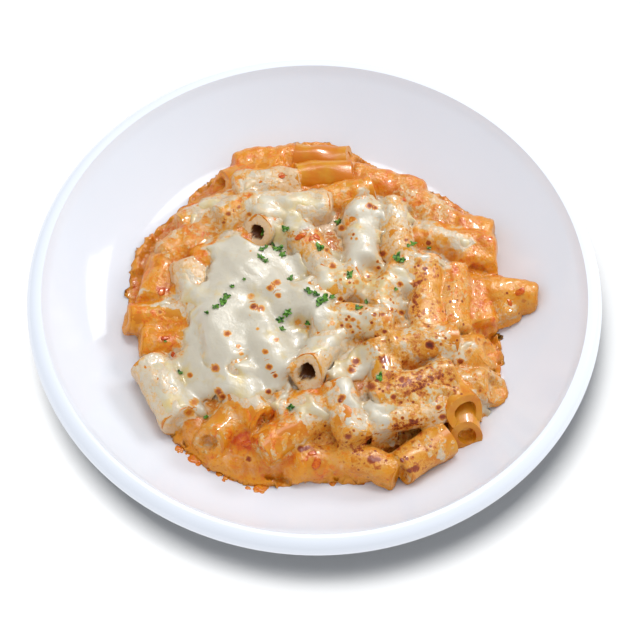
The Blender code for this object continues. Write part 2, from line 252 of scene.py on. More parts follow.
# Red stewed tomato in the sauce: across, up the view, radius and strength.
TOMATO_PATCHES = (
    (-12, 33, 4, 0.7), (-3, 35, 5, 0.9), (4, 31, 3, 0.6), (-18, 70, 2.5, 0.9), (42, 58, 2.0, 1.0),
    (34, 66, 5, 0.5), (76, 20, 4, 0.8), (-30, -77, 7, 0.8), (-26, -80, 3, 0.9), (3, -87, 5, 0.8),
    (-72, 3, 5, 0.7), (-70, -22, 7, 0.5), (-66, -34, 4, 0.6), (98, 9, 4, 0.6), (95, 0, 3, 0.6),
    (28, -13, 3, 0.6), (59, -12, 3.5, 0.6), (72, 40, 5, 0.5), (82, 28, 3, 0.5), (48, -88, 3, 0.4),
    (-72, -36, 3, 0.3), (80, -30, 4, 0.5), (32, -90, 3, 0.6), (-8, -92, 5, 0.3), (12, 31, 2.5, 0.5),
    (-16, 12, 2.0, 0.2),
)

# Chopped parsley: across, up the view, size and heading.
PARSLEY_FLAKES = (
    (-18.5, 26.5, 6.0, 20), (-16, 23.5, 3.6, 60), (-21, 29, 2.6, 120), (-26, 26, 3.0, 10),
    (-24, 27.5, 2.2, 80), (-26.5, 21.5, 3.6, 150), (-24, 19.5, 3.0, 40), (-25.5, 36, 4.2, 70),
    (-15, 38, 4.0, 160), (-12, 10, 4.4, 60), (11, 43.5, 4.6, 170), (16, 13, 4.6, 75), (-39, 5, 2.4, 0),
    (-33.5, 9, 1.6, 0), (-41.5, -1, 4.4, 50), (-43, -4, 4.0, 100), (-46, -6.5, 3.6, 10),
    (-50, -9.8, 2.4, 150), (-3, 3.5, 4.6, 155), (0.5, 2, 3.4, 160), (4, -0.5, 5.6, 30), (2, -3, 4.0, 80),
    (8, 0.8, 3.0, 20), (24.5, -1.5, 2.8, 110), (20.5, -4.8, 3.8, 15), (-12.5, -8.5, 4.4, 40),
    (-16, -12.5, 3.8, 20), (-15, -17.5, 3.0, 0), (-2.5, -13.8, 3.4, 160), (38.5, 23.5, 5.4, 80),
    (41, 22, 3.6, 30), (46, 32, 4.2, 20), (44, 30.5, 2.4, 60), (54.5, 30.3, 2.2, 0), (-62, -42.5, 2.6, 150),
    (-9.5, -58.5, 3.4, 30), (31, -41.5, 5.0, 92), (-48.5, -65.5, 2.6, 30), (38, 6, 1.8, 0),
    (-69.5, -26, 1.4, 0), (1.5, 28, 4.8, 120),
)

# Soft bits of tomato: across, up the view, size and heading.
TOMATO_BITS = (
    (3, -87, 6.0, 75), (1, -82, 3.5, 20), (-18, 69, 3.2, 10), (42, 57.5, 3.0, 40), (-29, -78, 5.0, 20),
    (-24, -76, 4.0, 120), (-73, 1, 5.0, 60), (-8, 34, 5.0, 15), (0, 34, 4.0, 160), (98, 7, 5.0, 30),
    (93, 1, 4.0, 120), (-70, -24, 4.0, 20), (-66, -33, 3.0, 90),
)

# Drops of sauce that stand alone on the plate: across, up the view and radius.
SAUCE_DROPS = (
    (10.5, -96.5, 2.6), (12.8, -95.5, 1.6), (23, -96, 2.2), (25.2, -94.8, 1.3), (33, -97.5, 1.6),
    (35, -97, 1.0), (62, -76, 0.9), (63, -74.5, 0.6), (-64, -76, 1.0), (-4, -94, 0.6),
)
# A spray of small drops: a stroke from point to point, its half width, and how many there are.
SPRAY_STROKE = (-60, -80, -20, -100, 6)
SPRAY_COUNT = 240


def srgb(red, green, blue):
    """A colour of 0 to 255 for each channel, as the linear values that Blender works in."""
    linear = []
    for channel in (red, green, blue):
        share = channel / 255.0
        linear.append(share / 12.92 if share <= 0.04045 else ((share + 0.055) / 1.055) ** 2.4)
    return tuple(linear)


# Settings that a user would change


def colour_setting(name, description, red, green, blue):
    return bpy.props.FloatVectorProperty(
        name=name,
        description=description,
        subtype="COLOR",
        size=3,
        min=0.0,
        max=1.0,
        default=srgb(red, green, blue),
    )


def length_setting(name, description, millimetres):
    return bpy.props.FloatProperty(
        name=name,
        description=description,
        default=millimetres * MM,
        min=0.0,
        unit="LENGTH",
        precision=5,
    )


class BakedPastaShapes(bpy.types.PropertyGroup):
    plate_sides: bpy.props.IntProperty(
        name="Plate sides", description="Faces round the turned plate", default=192, min=48
    )
    tube_wall: length_setting("Tube wall", "Thickness of a cooked tube's wall", 3.3)
    ridge_depth: length_setting("Ridge depth", "Height of the ridges along a tube", 0.07)
    ridge_count: bpy.props.IntProperty(
        name="Ridges", description="Ridges round a tube", default=27, min=6
    )
    sauce_fillet: length_setting("Sauce fillet", "How far sauce fills the nooks between tubes", 1.2)
    sauce_grain: length_setting("Sauce grain", "Size of the faces that the sauce's skin is made of", 1.04)
    cheese_fillet: length_setting("Cheese fillet", "How far cheese sags over the nooks", 2.4)
    cheese_grain: length_setting("Cheese grain", "Size of the faces that the cheese is made of", 0.75)
    cheese_wall: length_setting("Cheese wall", "Thickness of the sheet of cheese", 1.2)
    parsley_thickness: length_setting("Parsley thickness", "Thickness of a flake of parsley", 0.3)


class BakedPastaColours(bpy.types.PropertyGroup):
    glaze: colour_setting("Glaze", "The plate's glaze", 236, 239, 246)
    foot: colour_setting("Foot", "The bare clay of the foot ring", 214, 208, 198)
    sauce_orange: colour_setting("Sauce, orange", "Oily tomato sauce", 224, 116, 18)
    sauce_amber: colour_setting("Sauce, amber", "Oily sauce, thinly over pasta", 224, 144, 22)
    sauce_red: colour_setting("Sauce, red", "Sauce where the tomato is thickest", 196, 70, 14)
    # Painted shade: sauce in the nooks between tubes is painted darker.
    sauce_nook_shade: colour_setting("Sauce, deep", "Sauce down in the nooks", 182, 84, 18)
    sauce_cream: colour_setting("Sauce, cream", "Sauce where the cream has curdled", 218, 188, 152)
    # Painted shade: sauce deep inside an open tube is painted nearly black.
    sauce_bore_shade: colour_setting("Sauce, in a bore", "Sauce deep inside a tube", 60, 24, 10)
    sauce_gold: colour_setting("Sauce, golden", "Sauce with thin cream over it", 226, 168, 66)
    sauce_blush: colour_setting("Sauce, blush", "Cream and sauce stirred together", 224, 160, 96)
    pasta_amber: colour_setting("Pasta, amber", "Cooked pasta stained by the sauce", 206, 118, 10)
    pasta_pale: colour_setting("Pasta, pale", "Cooked pasta that the sauce has not reached", 214, 148, 34)
    cheese_white: colour_setting("Cheese, white", "Melted mozzarella", 208, 198, 178)
    cheese_yellow: colour_setting("Cheese, yellow", "Melted cheese where the fat shows", 214, 188, 122)
    toast_straw: colour_setting("Baked, straw", "Barely baked", 222, 158, 62)
    toast_gold: colour_setting("Baked, golden", "Lightly baked", 198, 108, 28)
    toast_brown: colour_setting("Baked, brown", "Well baked", 146, 56, 14)
    toast_black: colour_setting("Baked, dark", "Nearly burnt", 74, 24, 12)
    parsley_green: colour_setting("Parsley, green", "Chopped leaf", 96, 150, 36)
    parsley_dark: colour_setting("Parsley, dark", "The leaf's shaded folds", 24, 68, 14)
    tomato: colour_setting("Tomato", "Stewed tomato", 192, 68, 24)


class BakedPastaSettings(bpy.types.PropertyGroup):
    shapes: bpy.props.PointerProperty(
        type=BakedPastaShapes, name="Shapes", description="Sizes of the plate and the food"
    )
    colours: bpy.props.PointerProperty(
        type=BakedPastaColours, name="Colours", description="Colours of the plate and the food"
    )


def settings():
    return bpy.context.scene.baked_pasta


# Meshes


def deselect_all():
    bpy.ops.object.select_all(action="DESELECT")


def make_active(obj):
    deselect_all()
    obj.select_set(True)
    bpy.context.view_layer.objects.active = obj


def name_piece(obj, name):
    obj.name = name
    obj.data.name = name
    return obj


def apply_modifier(obj, name, kind, **values):
    made = obj.modifiers.new(name, kind)
    for key, value in values.items():
        setattr(made, key, value)
    make_active(obj)
    bpy.ops.object.modifier_apply(modifier=made.name)


def apply_place(obj):
    make_active(obj)
    bpy.ops.object.transform_apply(location=True, rotation=True, scale=True)


def join_pieces(pieces, name):
    deselect_all()
    for piece in pieces:
        piece.select_set(True)
    bpy.context.view_layer.objects.active = pieces[0]
    bpy.ops.object.join()
    return name_piece(pieces[0], name)


def copy_piece(obj):
    copied = obj.copy()
    copied.data = obj.data.copy()
    bpy.context.scene.collection.objects.link(copied)
    return copied


def get_points(obj):
    """A mesh's vertices in millimetres."""
    points = np.empty(len(obj.data.vertices) * 3)
    obj.data.vertices.foreach_get("co", points)
    return points.reshape(-1, 3) / MM


def set_points(obj, points):
    obj.data.vertices.foreach_set("co", (points * MM).ravel())
    obj.data.update()


def store(obj, name, values):
    """Keeps a number for each vertex, for the piece's material."""
    layer = obj.data.attributes.new(name, "FLOAT", "POINT")
    layer.data.foreach_set("value", np.asarray(values, np.float32))


def finish_piece(obj, material, slot, *nodes):
    obj.data.materials.clear()
    obj.data.materials.append(material)
    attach(obj, "root")
    if nodes:
        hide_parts(*nodes)


def turned_piece(name, profile, sides):
    """A closed shape turned round +Z: a ring at the profile's first point, extruded from point to point."""
    deselect_all()
    radius, height = profile[0]
    bpy.ops.mesh.primitive_circle_add(vertices=sides, radius=radius * MM, location=(0.0, 0.0, height * MM))
    piece = bpy.context.object
    bpy.ops.object.transform_apply(location=True, rotation=True, scale=True)
    bpy.ops.object.mode_set(mode="EDIT")
    bpy.ops.mesh.select_all(action="SELECT")
    bpy.ops.mesh.edge_face_add()
    bpy.ops.mesh.select_all(action="SELECT")
    bpy.ops.mesh.delete(type="ONLY_FACE")
    bpy.ops.mesh.select_all(action="SELECT")
    for next_radius, next_height in profile[1:]:
        lift = (0.0, 0.0, (next_height - height) * MM)
        bpy.ops.mesh.extrude_region_move(TRANSFORM_OT_translate={"value": lift})
        share = next_radius / radius
        middle = (0.0, 0.0, next_height * MM)
        bpy.ops.transform.resize(value=(share, share, 1.0), center_override=middle)
        radius, height = next_radius, next_height
    bpy.ops.mesh.edge_face_add()
    bpy.ops.mesh.select_all(action="DESELECT")
    bpy.ops.mesh.select_non_manifold()
    bpy.ops.mesh.edge_face_add()
    bpy.ops.mesh.select_all(action="SELECT")
    bpy.ops.mesh.normals_make_consistent(inside=False)
    bpy.ops.object.mode_set(mode="OBJECT")
    bpy.ops.object.shade_smooth_by_angle(angle=math.radians(40.0))
    return name_piece(piece, name)


# The plate


def inner_height(radius):
    """The plate's upper surface: a flat base, then a wall that steepens to the lip. Takes arrays too."""
    reach = PLATE_RADIUS - LIP_WIDTH - BASE_RADIUS
    share = np.maximum(0.0, np.asarray(radius, float) - BASE_RADIUS) / reach
    return BASE_TOP + (PLATE_HEIGHT - BASE_TOP) * share**WALL_CURVE


def plate_profile():
    """(radius, height) from the middle of the base, out over the lip, and back under to the axis."""
    lip_centre = PLATE_RADIUS - LIP_WIDTH
    roll_centre = PLATE_RADIUS - LIP_ROLL
    equator = PLATE_HEIGHT - LIP_DROP
    points = [(10.0, BASE_TOP), (40.0, BASE_TOP), (70.0, BASE_TOP)]
    for radius in np.arange(BASE_RADIUS, lip_centre - 2.0, 2.0):
        points.append((radius, float(inner_height(radius))))
    for degrees in range(100, -1, -10):
        turn = math.radians(degrees)
        points.append((lip_centre + LIP_WIDTH * math.cos(turn), equator + LIP_DROP * math.sin(turn)))
    for degrees in range(-10, -int(LIP_ROLL_END) - 1, -10):
        turn = math.radians(degrees)
        points.append((roll_centre + LIP_ROLL * math.cos(turn), equator + LIP_ROLL * math.sin(turn)))
    roll_radius, roll_height = points[-1]
    for radius in np.arange(roll_radius - 2.0, OUTER_WALL_START, -4.0):
        share = (radius - OUTER_WALL_START) / (roll_radius - OUTER_WALL_START)
        points.append((radius, OUTER_WALL_FOOT + (roll_height - OUTER_WALL_FOOT) * share**WALL_CURVE))
    points += [(FOOT_OUTER + 2.4, 3.0), (FOOT_OUTER + 1.2, 1.6), (FOOT_OUTER + 0.6, 0.6)]
    points += [(FOOT_OUTER, 0.15), (FOOT_OUTER - 0.7, 0.0), (FOOT_INNER + 0.7, 0.0), (FOOT_INNER, 0.15)]
    points += [(FOOT_INNER - 0.6, 0.6), (FOOT_INNER - 1.6, 2.4), (FOOT_INNER - 3.2, 3.8)]
    points += [(FOOT_INNER - 6.0, BASE_UNDERSIDE), (30.0, BASE_UNDERSIDE), (8.0, BASE_UNDERSIDE)]
    return points


# Tubes


class Tube:
    """One cooked tube: where it lies, which way it runs, its bend, and how it is coated."""

    def __init__(self, row, rng):
        across, up_view, height, heading, pitch, self.length, self.radius = row[:7]
        self.coat, self.cream, self.start_bore, self.end_bore, lean = row[7:]
        turn, rise = math.radians(heading), math.radians(pitch)
        self.middle = np.array((across, up_view - LEAN * (height - LEVEL), height))
        self.along = np.array(
            (math.cos(turn) * math.cos(rise), math.sin(turn) * math.cos(rise), math.sin(rise))
        )
        self.side = np.array((-math.sin(turn), math.cos(turn), 0.0))
        self.up = np.cross(self.along, self.side)
        self.bend = rng.uniform(-0.006, 0.006)
        self.flat = rng.uniform(0.9, 0.98)
        self.roll = rng.uniform(0.0, 360.0)
        self.lean = math.tan(math.radians(lean)) * 2.0 / self.length

    def place(self, local):
        """Points of a straight tube along X, moved to where this tube lies."""
        t, b, c = local[:, 0], local[:, 1], local[:, 2] * self.flat
        t = t - self.lean * c * t
        bow = self.bend * (t * t / 2.0 - self.length**2 / 24.0)
        points = self.middle + np.outer(t, self.along)
        return points + np.outer(b + bow, self.side) + np.outer(c, self.up)

    def local(self, points):
        """How far along the tube, and how far from its axis, each point is."""
        reach = points - self.middle
        t = reach @ self.along
        bow = self.bend * (t * t / 2.0 - self.length**2 / 24.0)
        b = reach @ self.side - bow
        c = reach @ self.up
        return t / np.maximum(1.0 - self.lean * c, 0.5), np.hypot(b, c / self.flat)

    def outside(self, points):
        """The distance from the tube as a round-edged bar, whose open ends stop short of the pasta's."""
        t, radial = self.local(points)
        edge = 2.2
        cut = 0.6 if self.coat > -0.5 else -0.5
        start = self.length / 2.0 + (0.6 if self.start_bore == 0 else cut)
        end = self.length / 2.0 + (0.6 if self.end_bore == 0 else cut)
        past = np.where(t < 0.0, -t - start, t - end) + edge
        wide = radial - self.radius + edge
        corner = np.hypot(np.maximum(past, 0.0), np.maximum(wide, 0.0))
        return corner + np.minimum(np.maximum(past, wide), 0.0) - edge


def lay_tubes():
    """Every tube of the heap: those that show, then those that hold them up."""
    rng = random.Random(11)
    tubes = [Tube(row, rng) for row in SHOWN_TUBES]
    for number in range(HIDDEN_TUBES):
        heading = rng.uniform(0.0, 180.0)
        round_heap = math.tau * number / HIDDEN_TUBES + rng.uniform(-0.2, 0.2)
        reach = HIDDEN_REACH if number % 2 else HIDDEN_REACH * 0.5
        across = reach * math.cos(round_heap)
        y = reach * math.sin(round_heap) + FOOD_CENTRE_Y
        up_view = y + LEAN * (HIDDEN_HEIGHT - LEVEL)
        tubes.append(Tube((across, up_view, HIDDEN_HEIGHT, heading, 0, 38, 7.5, 0.2, 0.4, 0, 0, 0), rng))
    return tubes


TUBES = lay_tubes()


def model_rigatone(radius, length):
    """One straight ridged tube along X: a cylinder in rings, drawn in between its ridges and hollowed."""
    shapes = settings().shapes
    lines = 2 * shapes.ridge_count
    deselect_all()
    bpy.ops.mesh.primitive_cylinder_add(
        vertices=lines, radius=radius * MM, depth=length * MM, end_fill_type="NOTHING"
    )
    tube = bpy.context.object
    bpy.ops.object.mode_set(mode="EDIT")
    bpy.ops.mesh.select_mode(type="EDGE")
    bpy.ops.mesh.select_all(action="DESELECT")
    bpy.ops.object.mode_set(mode="OBJECT")
    for edge in tube.data.edges:
        low, high = (tube.data.vertices[number].co.z for number in edge.vertices)
        edge.select = abs(low - high) > 0.5 * length * MM
    bpy.ops.object.mode_set(mode="EDIT")
    bpy.ops.mesh.subdivide(number_cuts=8)
    bpy.ops.mesh.select_mode(type="VERT")
    bpy.ops.mesh.select_all(action="DESELECT")
    bpy.ops.object.mode_set(mode="OBJECT")
    for vertex in tube.data.vertices:
        line = round(math.atan2(vertex.co.y, vertex.co.x) / math.tau * lines)
        vertex.select = line % 2 == 1
    bpy.ops.object.mode_set(mode="EDIT")
    groove = 1.0 - shapes.ridge_depth / (radius * MM)
    bpy.ops.transform.resize(value=(groove, groove, 1.0), center_override=(0.0, 0.0, 0.0))
    bpy.ops.object.mode_set(mode="OBJECT")
    apply_modifier(tube, "wall", "SOLIDIFY", thickness=shapes.tube_wall, offset=-1.0)
    tube.rotation_euler = (0.0, math.radians(90.0), 0.0)
    apply_place(tube)
    return tube


def model_rigatoni():
    """Every tube as its own mesh, copied from one model, uneven, bent and laid in the heap."""
    model_radius, model_length = 7.8, 40.0
    model = model_rigatone(model_radius, model_length)
    shape = get_points(model)
    pieces = []
    for tube in TUBES:
        piece = copy_piece(model)
        points = shape.copy()
        points[:, 0] *= tube.length / model_length
        points[:, 1:] *= tube.radius / model_radius
        turn = math.radians(tube.roll)
        across = points[:, 1] * math.cos(turn) - points[:, 2] * math.sin(turn)
        points[:, 2] = points[:, 1] * math.sin(turn) + points[:, 2] * math.cos(turn)
        points[:, 1] = across
        points = tube.place(points)
        set_points(piece, points - slump(points))
        pieces.append(piece)
    bpy.data.objects.remove(model, do_unlink=True)
    return join_pieces(pieces, "rigatoni")


# The coats of sauce and cheese


def sway(points, size, seed):
    """Smooth noise from about -1 to 1, with features of about the given size in millimetres."""
    rng = np.random.default_rng(seed)
    total = np.zeros(len(points))
    for _ in range(7):
        way = rng.normal(size=3)
        way *= math.tau / (np.linalg.norm(way) * size * rng.uniform(1.2, 2.8))
        total += np.sin(points @ way + rng.uniform(0.0, math.tau))
    return total / 2.8


def slump(points):
    """How far the soft food has given way at each point."""
    return np.stack([sway(points, SLUMP_SIZE, 31 + axis) * SLUMP_DEPTH for axis in range(3)], axis=1)


def seen(points):
    """Where the diner sees each point: across, and up the view at the height of LEVEL."""
    return points[:, 0], points[:, 1] + LEAN * (points[:, 2] - LEVEL)


def from_stroke(x, v, stroke):
    """The distance of each seen point from a stroke between two points."""
    x0, v0, x1, v1 = stroke
    length = (x1 - x0) ** 2 + (v1 - v0) ** 2
    share = np.clip(((x - x0) * (x1 - x0) + (v - v0) * (v1 - v0)) / max(length, 1e-6), 0.0, 1.0)
    return np.hypot(x - x0 - share * (x1 - x0), v - v0 - share * (v1 - v0))


def pool_outline(x, y):
    """The pool's radius on each point's heading, from the food's centre."""
    heading = np.arctan2(y, x) % math.tau
    radii = np.array(POOL_RADII + POOL_RADII[:1], float)
    return np.interp(heading / math.tau * len(POOL_RADII), np.arange(len(radii)), radii)


def pool_edge(x, y):
    """How far outside the pool's outline each point is, negative inside."""
    outline = pool_outline(x, y - FOOD_CENTRE_Y)
    places = np.stack((x, y, np.zeros(len(x))), axis=1)
    ragged = sway(places, 5.0, 51) * 1.4 + sway(places, 1.8, 52) * 0.8
    return np.hypot(x, y - FOOD_CENTRE_Y) - outline + ragged


def lay_lumps():
    """Lumps of sauce round the pool's edge: middle and radius."""
    rng = random.Random(5)
    lumps = []
    for number in range(LUMP_COUNT):
        turn = math.tau * number / LUMP_COUNT + rng.uniform(-0.06, 0.06)
        radius = rng.uniform(0.8, 1.7)
        place = turn / math.tau * len(POOL_RADII)
        outline = POOL_RADII[int(place) % len(POOL_RADII)]
        reach = outline - radius * rng.uniform(1.2, 2.4)
        x, y = reach * math.cos(turn), reach * math.sin(turn) + FOOD_CENTRE_Y
        z = float(inner_height(math.hypot(x, y))) + radius * 0.15
        lumps.append((np.array((x, y, z)), radius))
    return lumps


LUMPS = lay_lumps()


def mound_height(x, y):
    """The top of the sauce that lies between the tubes."""
    share = np.clip(1.0 + pool_edge(x, y) / 90.0, 0.0, 1.0)
    return BASE_TOP + 3.0 + (MOUND_TOP - BASE_TOP - 3.0) * (1.0 - share**3)


def food_closeness(points, coats, fillet):
    """How close each point is to the tubes, summed so that the nooks between them fill up."""
    points = points + slump(points)
    total = np.zeros(len(points))
    for tube, coat in zip(TUBES, coats):
        total += closeness(tube.outside(points) - coat, fillet)
    return total


def closeness(outside, fillet):
    return np.exp(-np.clip(outside, -9.0, 30.0) / fillet)


def mound_depth(points):
    """How far outside the mound of sauce between the tubes each point is."""
    x, y, z = points.T
    base = inner_height(np.hypot(x, y))
    return np.maximum((z - mound_height(x, y)) * 0.85, base + POOL_DEPTH * 0.5 - z)


def sauce_field(points):
    fillet = settings().shapes.sauce_fillet / MM
    total = food_closeness(points, [tube.coat for tube in TUBES], fillet)
    x, y, z = points.T
    base = inner_height(np.hypot(x, y))
    slab = np.abs(z - base - POOL_DEPTH / 2.0 - 0.1) - POOL_DEPTH / 2.0 + 1.0
    rim = pool_edge(x, y) + 1.0
    corner = np.hypot(np.maximum(slab, 0.0), np.maximum(rim, 0.0))
    total += closeness(corner + np.minimum(np.maximum(slab, rim), 0.0) - 1.0, fillet)
    total += closeness(mound_depth(points), fillet)
    for middle, radius in LUMPS:
        total += closeness(np.linalg.norm(points - middle, axis=1) - radius, fillet)
    return -fillet * np.log(total)


def settle(points, field, steps, longest=1.2):
    """Moves each point onto the surface where the field is nothing."""
    reach = 0.25
    for _ in range(steps):
        here = field(points)
        slope = np.empty_like(points)
        for axis in range(3):
            shifted = points.copy()
            shifted[:, axis] += reach
            slope[:, axis] = (field(shifted) - here) / reach
        steep = np.maximum((slope**2).sum(axis=1), 0.15)
        move = slope * (here / steep)[:, None]
        far = np.maximum(np.linalg.norm(move, axis=1) / longest, 1.0)
        points = points - move / far[:, None]
    return points


def rough_bars(swell):
    """A solid bar round every tube, a little larger than the tube."""
    deselect_all()
    bpy.ops.mesh.primitive_cylinder_add(vertices=20, radius=MM, depth=2.0 * MM)
    bar = bpy.context.object
    bpy.ops.object.mode_set(mode="EDIT")
    bpy.ops.mesh.select_all(action="SELECT")
    bpy.ops.mesh.bisect(plane_co=(0, 0, 0.0003), plane_no=(0, 0, 1))
    bpy.ops.mesh.select_all(action="SELECT")
    bpy.ops.mesh.bisect(plane_co=(0, 0, -0.0003), plane_no=(0, 0, 1))
    bpy.ops.object.mode_set(mode="OBJECT")
    bar.rotation_euler = (0.0, math.radians(90.0), 0.0)
    apply_place(bar)
    shape = get_points(bar)
    pieces = []
    for tube in TUBES:
        piece = copy_piece(bar)
        points = shape.copy()
        points[:, 0] *= tube.length / 2.0 + swell
        points[:, 1:] *= tube.radius + swell
        points = tube.place(points)
        set_points(piece, points - slump(points))
        pieces.append(piece)
    bpy.data.objects.remove(bar, do_unlink=True)
    return pieces


def rough_mound():
    """The sauce between the tubes, as a low dome with a flat underside."""
    deselect_all()
    bpy.ops.mesh.primitive_uv_sphere_add(segments=48, ring_count=24, radius=MM)
    mound = bpy.context.object
    points = get_points(mound)
    points *= (84.0, 84.0, 12.0)
    points += (0.0, FOOD_CENTRE_Y - 1.0, BASE_TOP + 3.5)
    points[:, 2] = np.maximum(points[:, 2], BASE_TOP + 0.6)
    set_points(mound, points)
    return mound


def rough_pool():
    """The pool as a disc with the pool's outline, laid on the plate."""
    deselect_all()
    bpy.ops.mesh.primitive_cylinder_add(vertices=192, radius=MM, depth=2.0 * MM, end_fill_type="TRIFAN")
    pool = bpy.context.object
    apply_modifier(pool, "rings", "SUBSURF", subdivision_type="SIMPLE", levels=2, render_levels=2)
    points = get_points(pool)
    outline = pool_outline(points[:, 0], points[:, 1])
    x, y = points[:, 0] * outline, points[:, 1] * outline + FOOD_CENTRE_Y
    low = inner_height(np.hypot(x, y)) + 0.1
    z = low + np.where(points[:, 2] > 0.0, POOL_DEPTH + 0.5, 0.0)
    set_points(pool, np.stack((x, y, z), axis=1))
    return pool


def rough_heap(name, swell):
    """The heap as overlapping bars, a mound, a pool and lumps, to be melted together."""
    pieces = rough_bars(swell) + [rough_mound(), rough_pool()]
    for middle, radius in LUMPS:
        bpy.ops.mesh.primitive_ico_sphere_add(subdivisions=2, radius=radius * MM, location=middle * MM)
        lump = bpy.context.object
        apply_place(lump)
        pieces.append(lump)
    return join_pieces(pieces, name)


def open_bores(points, normals):
    """Pushes the skin that closes a tube's open end down its bore."""
    wall = settings().shapes.tube_wall / MM
    for tube in TUBES:
        for bore, way in ((tube.start_bore, -1.0), (tube.end_bore, 1.0)):
            if bore == 0:
                continue
            t, radial = tube.local(points + slump(points))
            past = way * t - tube.length / 2.0
            clear = tube.radius - wall + (0.3 if tube.coat <= -0.5 else -0.7)
            facing = way * (normals @ tube.along)
            share = np.clip((clear - radial) / 0.8, 0.0, 1.0)
            inside = (np.abs(past + 0.5) < 2.5) & (facing > -0.2)
            points = points - np.outer(np.where(inside, share * bore * way, 0.0), tube.along)
    return points


def get_normals(obj):
    normals = np.empty(len(obj.data.vertices) * 3, np.float32)
    obj.data.vertices.foreach_get("normal", normals)
    return normals.reshape(-1, 3)


def strongest(x, v, rows, soft):
    """The strongest of the strokes or spots at each seen point."""
    total = np.zeros(len(x))
    for row in rows:
        if len(row) == 4:
            away, half, strength = np.hypot(x - row[0], v - row[1]), row[2], row[3]
        else:
            away, half, strength = from_stroke(x, v, row[:4]), row[4], row[5]
        share = np.clip((half + soft - away) / (2.0 * soft), 0.0, 1.0)
        total = np.maximum(total, strength * share)
    return total


def nearest_spot(x, v):
    """How far each seen point is from the nearest spot's middle, in spot radii, and the spot's strength."""
    across, up_view, radius, strength = np.array(BAKED_SPOTS).T
    aside = (x[:, None] - across) / radius
    above = (v[:, None] - up_view) / radius
    nearest = np.argmin(np.hypot(aside, above), axis=1)
    rows = np.arange(len(x))
    aside, above = aside[rows, nearest], above[rows, nearest]
    return aside, above, np.where(np.hypot(aside, above) < SPOT_REACH, strength[nearest], 0.0)


def store_baking(obj):
    """Keeps, for each vertex, how baked, toasted and tomato-red it is."""
    points = get_points(obj)
    x, v = seen(points)
    ragged = sway(points, 1.8, 3) * 0.5
    for name, values in zip(("spot_across", "spot_up", "spot"), nearest_spot(x, v)):
        store(obj, name, values)
    store(obj, "baked", strongest(x + ragged, v - ragged, BAKED_STROKES, 1.2))
    store(obj, "toasted", strongest(x, v, TOASTED_STROKES, 4.0))
    store(obj, "tomato", strongest(x + ragged * 4.0, v, TOMATO_PATCHES, 3.0))


def store_cream(obj):
    """Keeps how creamy the sauce is, from the tube that each vertex lies on, and where shade is painted in
    the nooks between tubes and deep in open bores.
    """
    points = get_points(obj)
    slumped = points + slump(points)
    nearest = np.full(len(points), 1e9)
    cream, bored = np.zeros(len(points)), np.zeros(len(points))
    for tube in TUBES:
        outside = tube.outside(slumped)
        closer = outside < nearest
        nearest = np.where(closer, outside, nearest)
        cream = np.where(closer, tube.cream, cream)
        t, radial = tube.local(slumped)
        # How deep inside an open bore each point lies, for the painted shade there.
        for bore, way in ((tube.start_bore, -1.0), (tube.end_bore, 1.0)):
            past = way * t - tube.length / 2.0
            inside = (bore >= DEEP_BORE) & (radial < tube.radius * 0.56) & (past < 0.3) & (past > -20.0)
            bored = np.where(inside, np.clip(0.5 - past / 5.0, 0.0, 1.0), bored)
    low = np.clip((points[:, 2] - BASE_TOP - 2.0) / 5.0, 0.15, 1.0)
    store(obj, "cream", cream * low * (1.0 - bored))
    store(obj, "bored", bored)
    # Painted shade in the nooks between tubes, and deep in the open bores.
    store(obj, "nook", np.maximum(np.clip(nearest / 1.6 - 0.3, 0.0, 1.0) * low, bored))


def model_sauce():
    shapes = settings().shapes
    sauce = rough_heap("sauce", 0.2)
    apply_modifier(sauce, "melt", "REMESH", mode="VOXEL", voxel_size=shapes.sauce_grain)
    points = settle(get_points(sauce), sauce_field, 3)
    points += get_normals(sauce) * (sway(points, 3.6, 1) * 0.3 + sway(points, 1.7, 2) * 0.12)[:, None]
    base = inner_height(np.hypot(points[:, 0], points[:, 1]))
    points[:, 2] = np.maximum(points[:, 2], base + 0.05)
    set_points(sauce, points)
    apply_modifier(sauce, "soften", "SMOOTH", factor=0.3, iterations=1)
    set_points(sauce, open_bores(get_points(sauce), get_normals(sauce)))
    make_active(sauce)
    bpy.ops.object.shade_smooth()
    store_baking(sauce)
    store_cream(sauce)
    points = get_points(sauce)
    store(sauce, "melt", np.clip(1.0 + cheese_thickness(points) / 2.4, 0.0, 1.0))
    store(sauce, "edge", np.clip(1.0 + pool_edge(points[:, 0], points[:, 1]) / 5.0, 0.0, 1.0))
    return sauce


def cheese_thickness(points):
    """How far the cheese stands proud of the pasta at each point, negative where there is none."""
    x, v = seen(points)
    x = x + sway(points, 6.0, 6) * 2.2 + sway(points, 2.2, 7) * 0.8
    v = v + sway(points, 6.0, 8) * 2.2 + sway(points, 2.2, 9) * 0.8
    total = np.full(len(points), -3.0)
    for row in CHEESE_STROKES:
        share = np.clip((row[4] + 1.0 - from_stroke(x, v, row[:4])) / 3.5, -1.0, 1.0)
        total = np.maximum(total, np.where(share > 0.0, row[5] * share, 3.0 * share))
    total += sway(points, 5.0, 10) * 0.25
    for row in CHEESE_CREASES:
        dip = row[5] * np.exp(-((from_stroke(x, v, row[:4]) / row[4]) ** 2))
        total = np.where(total > 0.4, np.maximum(total - dip, 0.3), total)
    for tube in TUBES:
        for bore, way in ((tube.start_bore, -0.5), (tube.end_bore, 0.5)):
            if bore > 0:
                mouth = tube.middle + tube.along * tube.length * way
                away = np.linalg.norm(points - mouth, axis=1) - tube.radius
                total = np.minimum(total, away - 0.6)
    return total


def cheese_field(points):
    fillet = settings().shapes.cheese_fillet / MM
    total = food_closeness(points, [0.0] * len(TUBES), fillet)
    total += closeness(mound_depth(points), fillet)
    for across, up_view, height, half_x, half_y, half_z in CHEESE_BEDS:
        halves = np.array((half_x, half_y, half_z))
        middle = np.array((across, up_view - LEAN * (height + half_z - LEVEL), height))
        reach = np.linalg.norm((points - middle) / halves, axis=1)
        total += closeness((reach - 1.0) * half_z, fillet)
    return -fillet * np.log(total) + 0.3


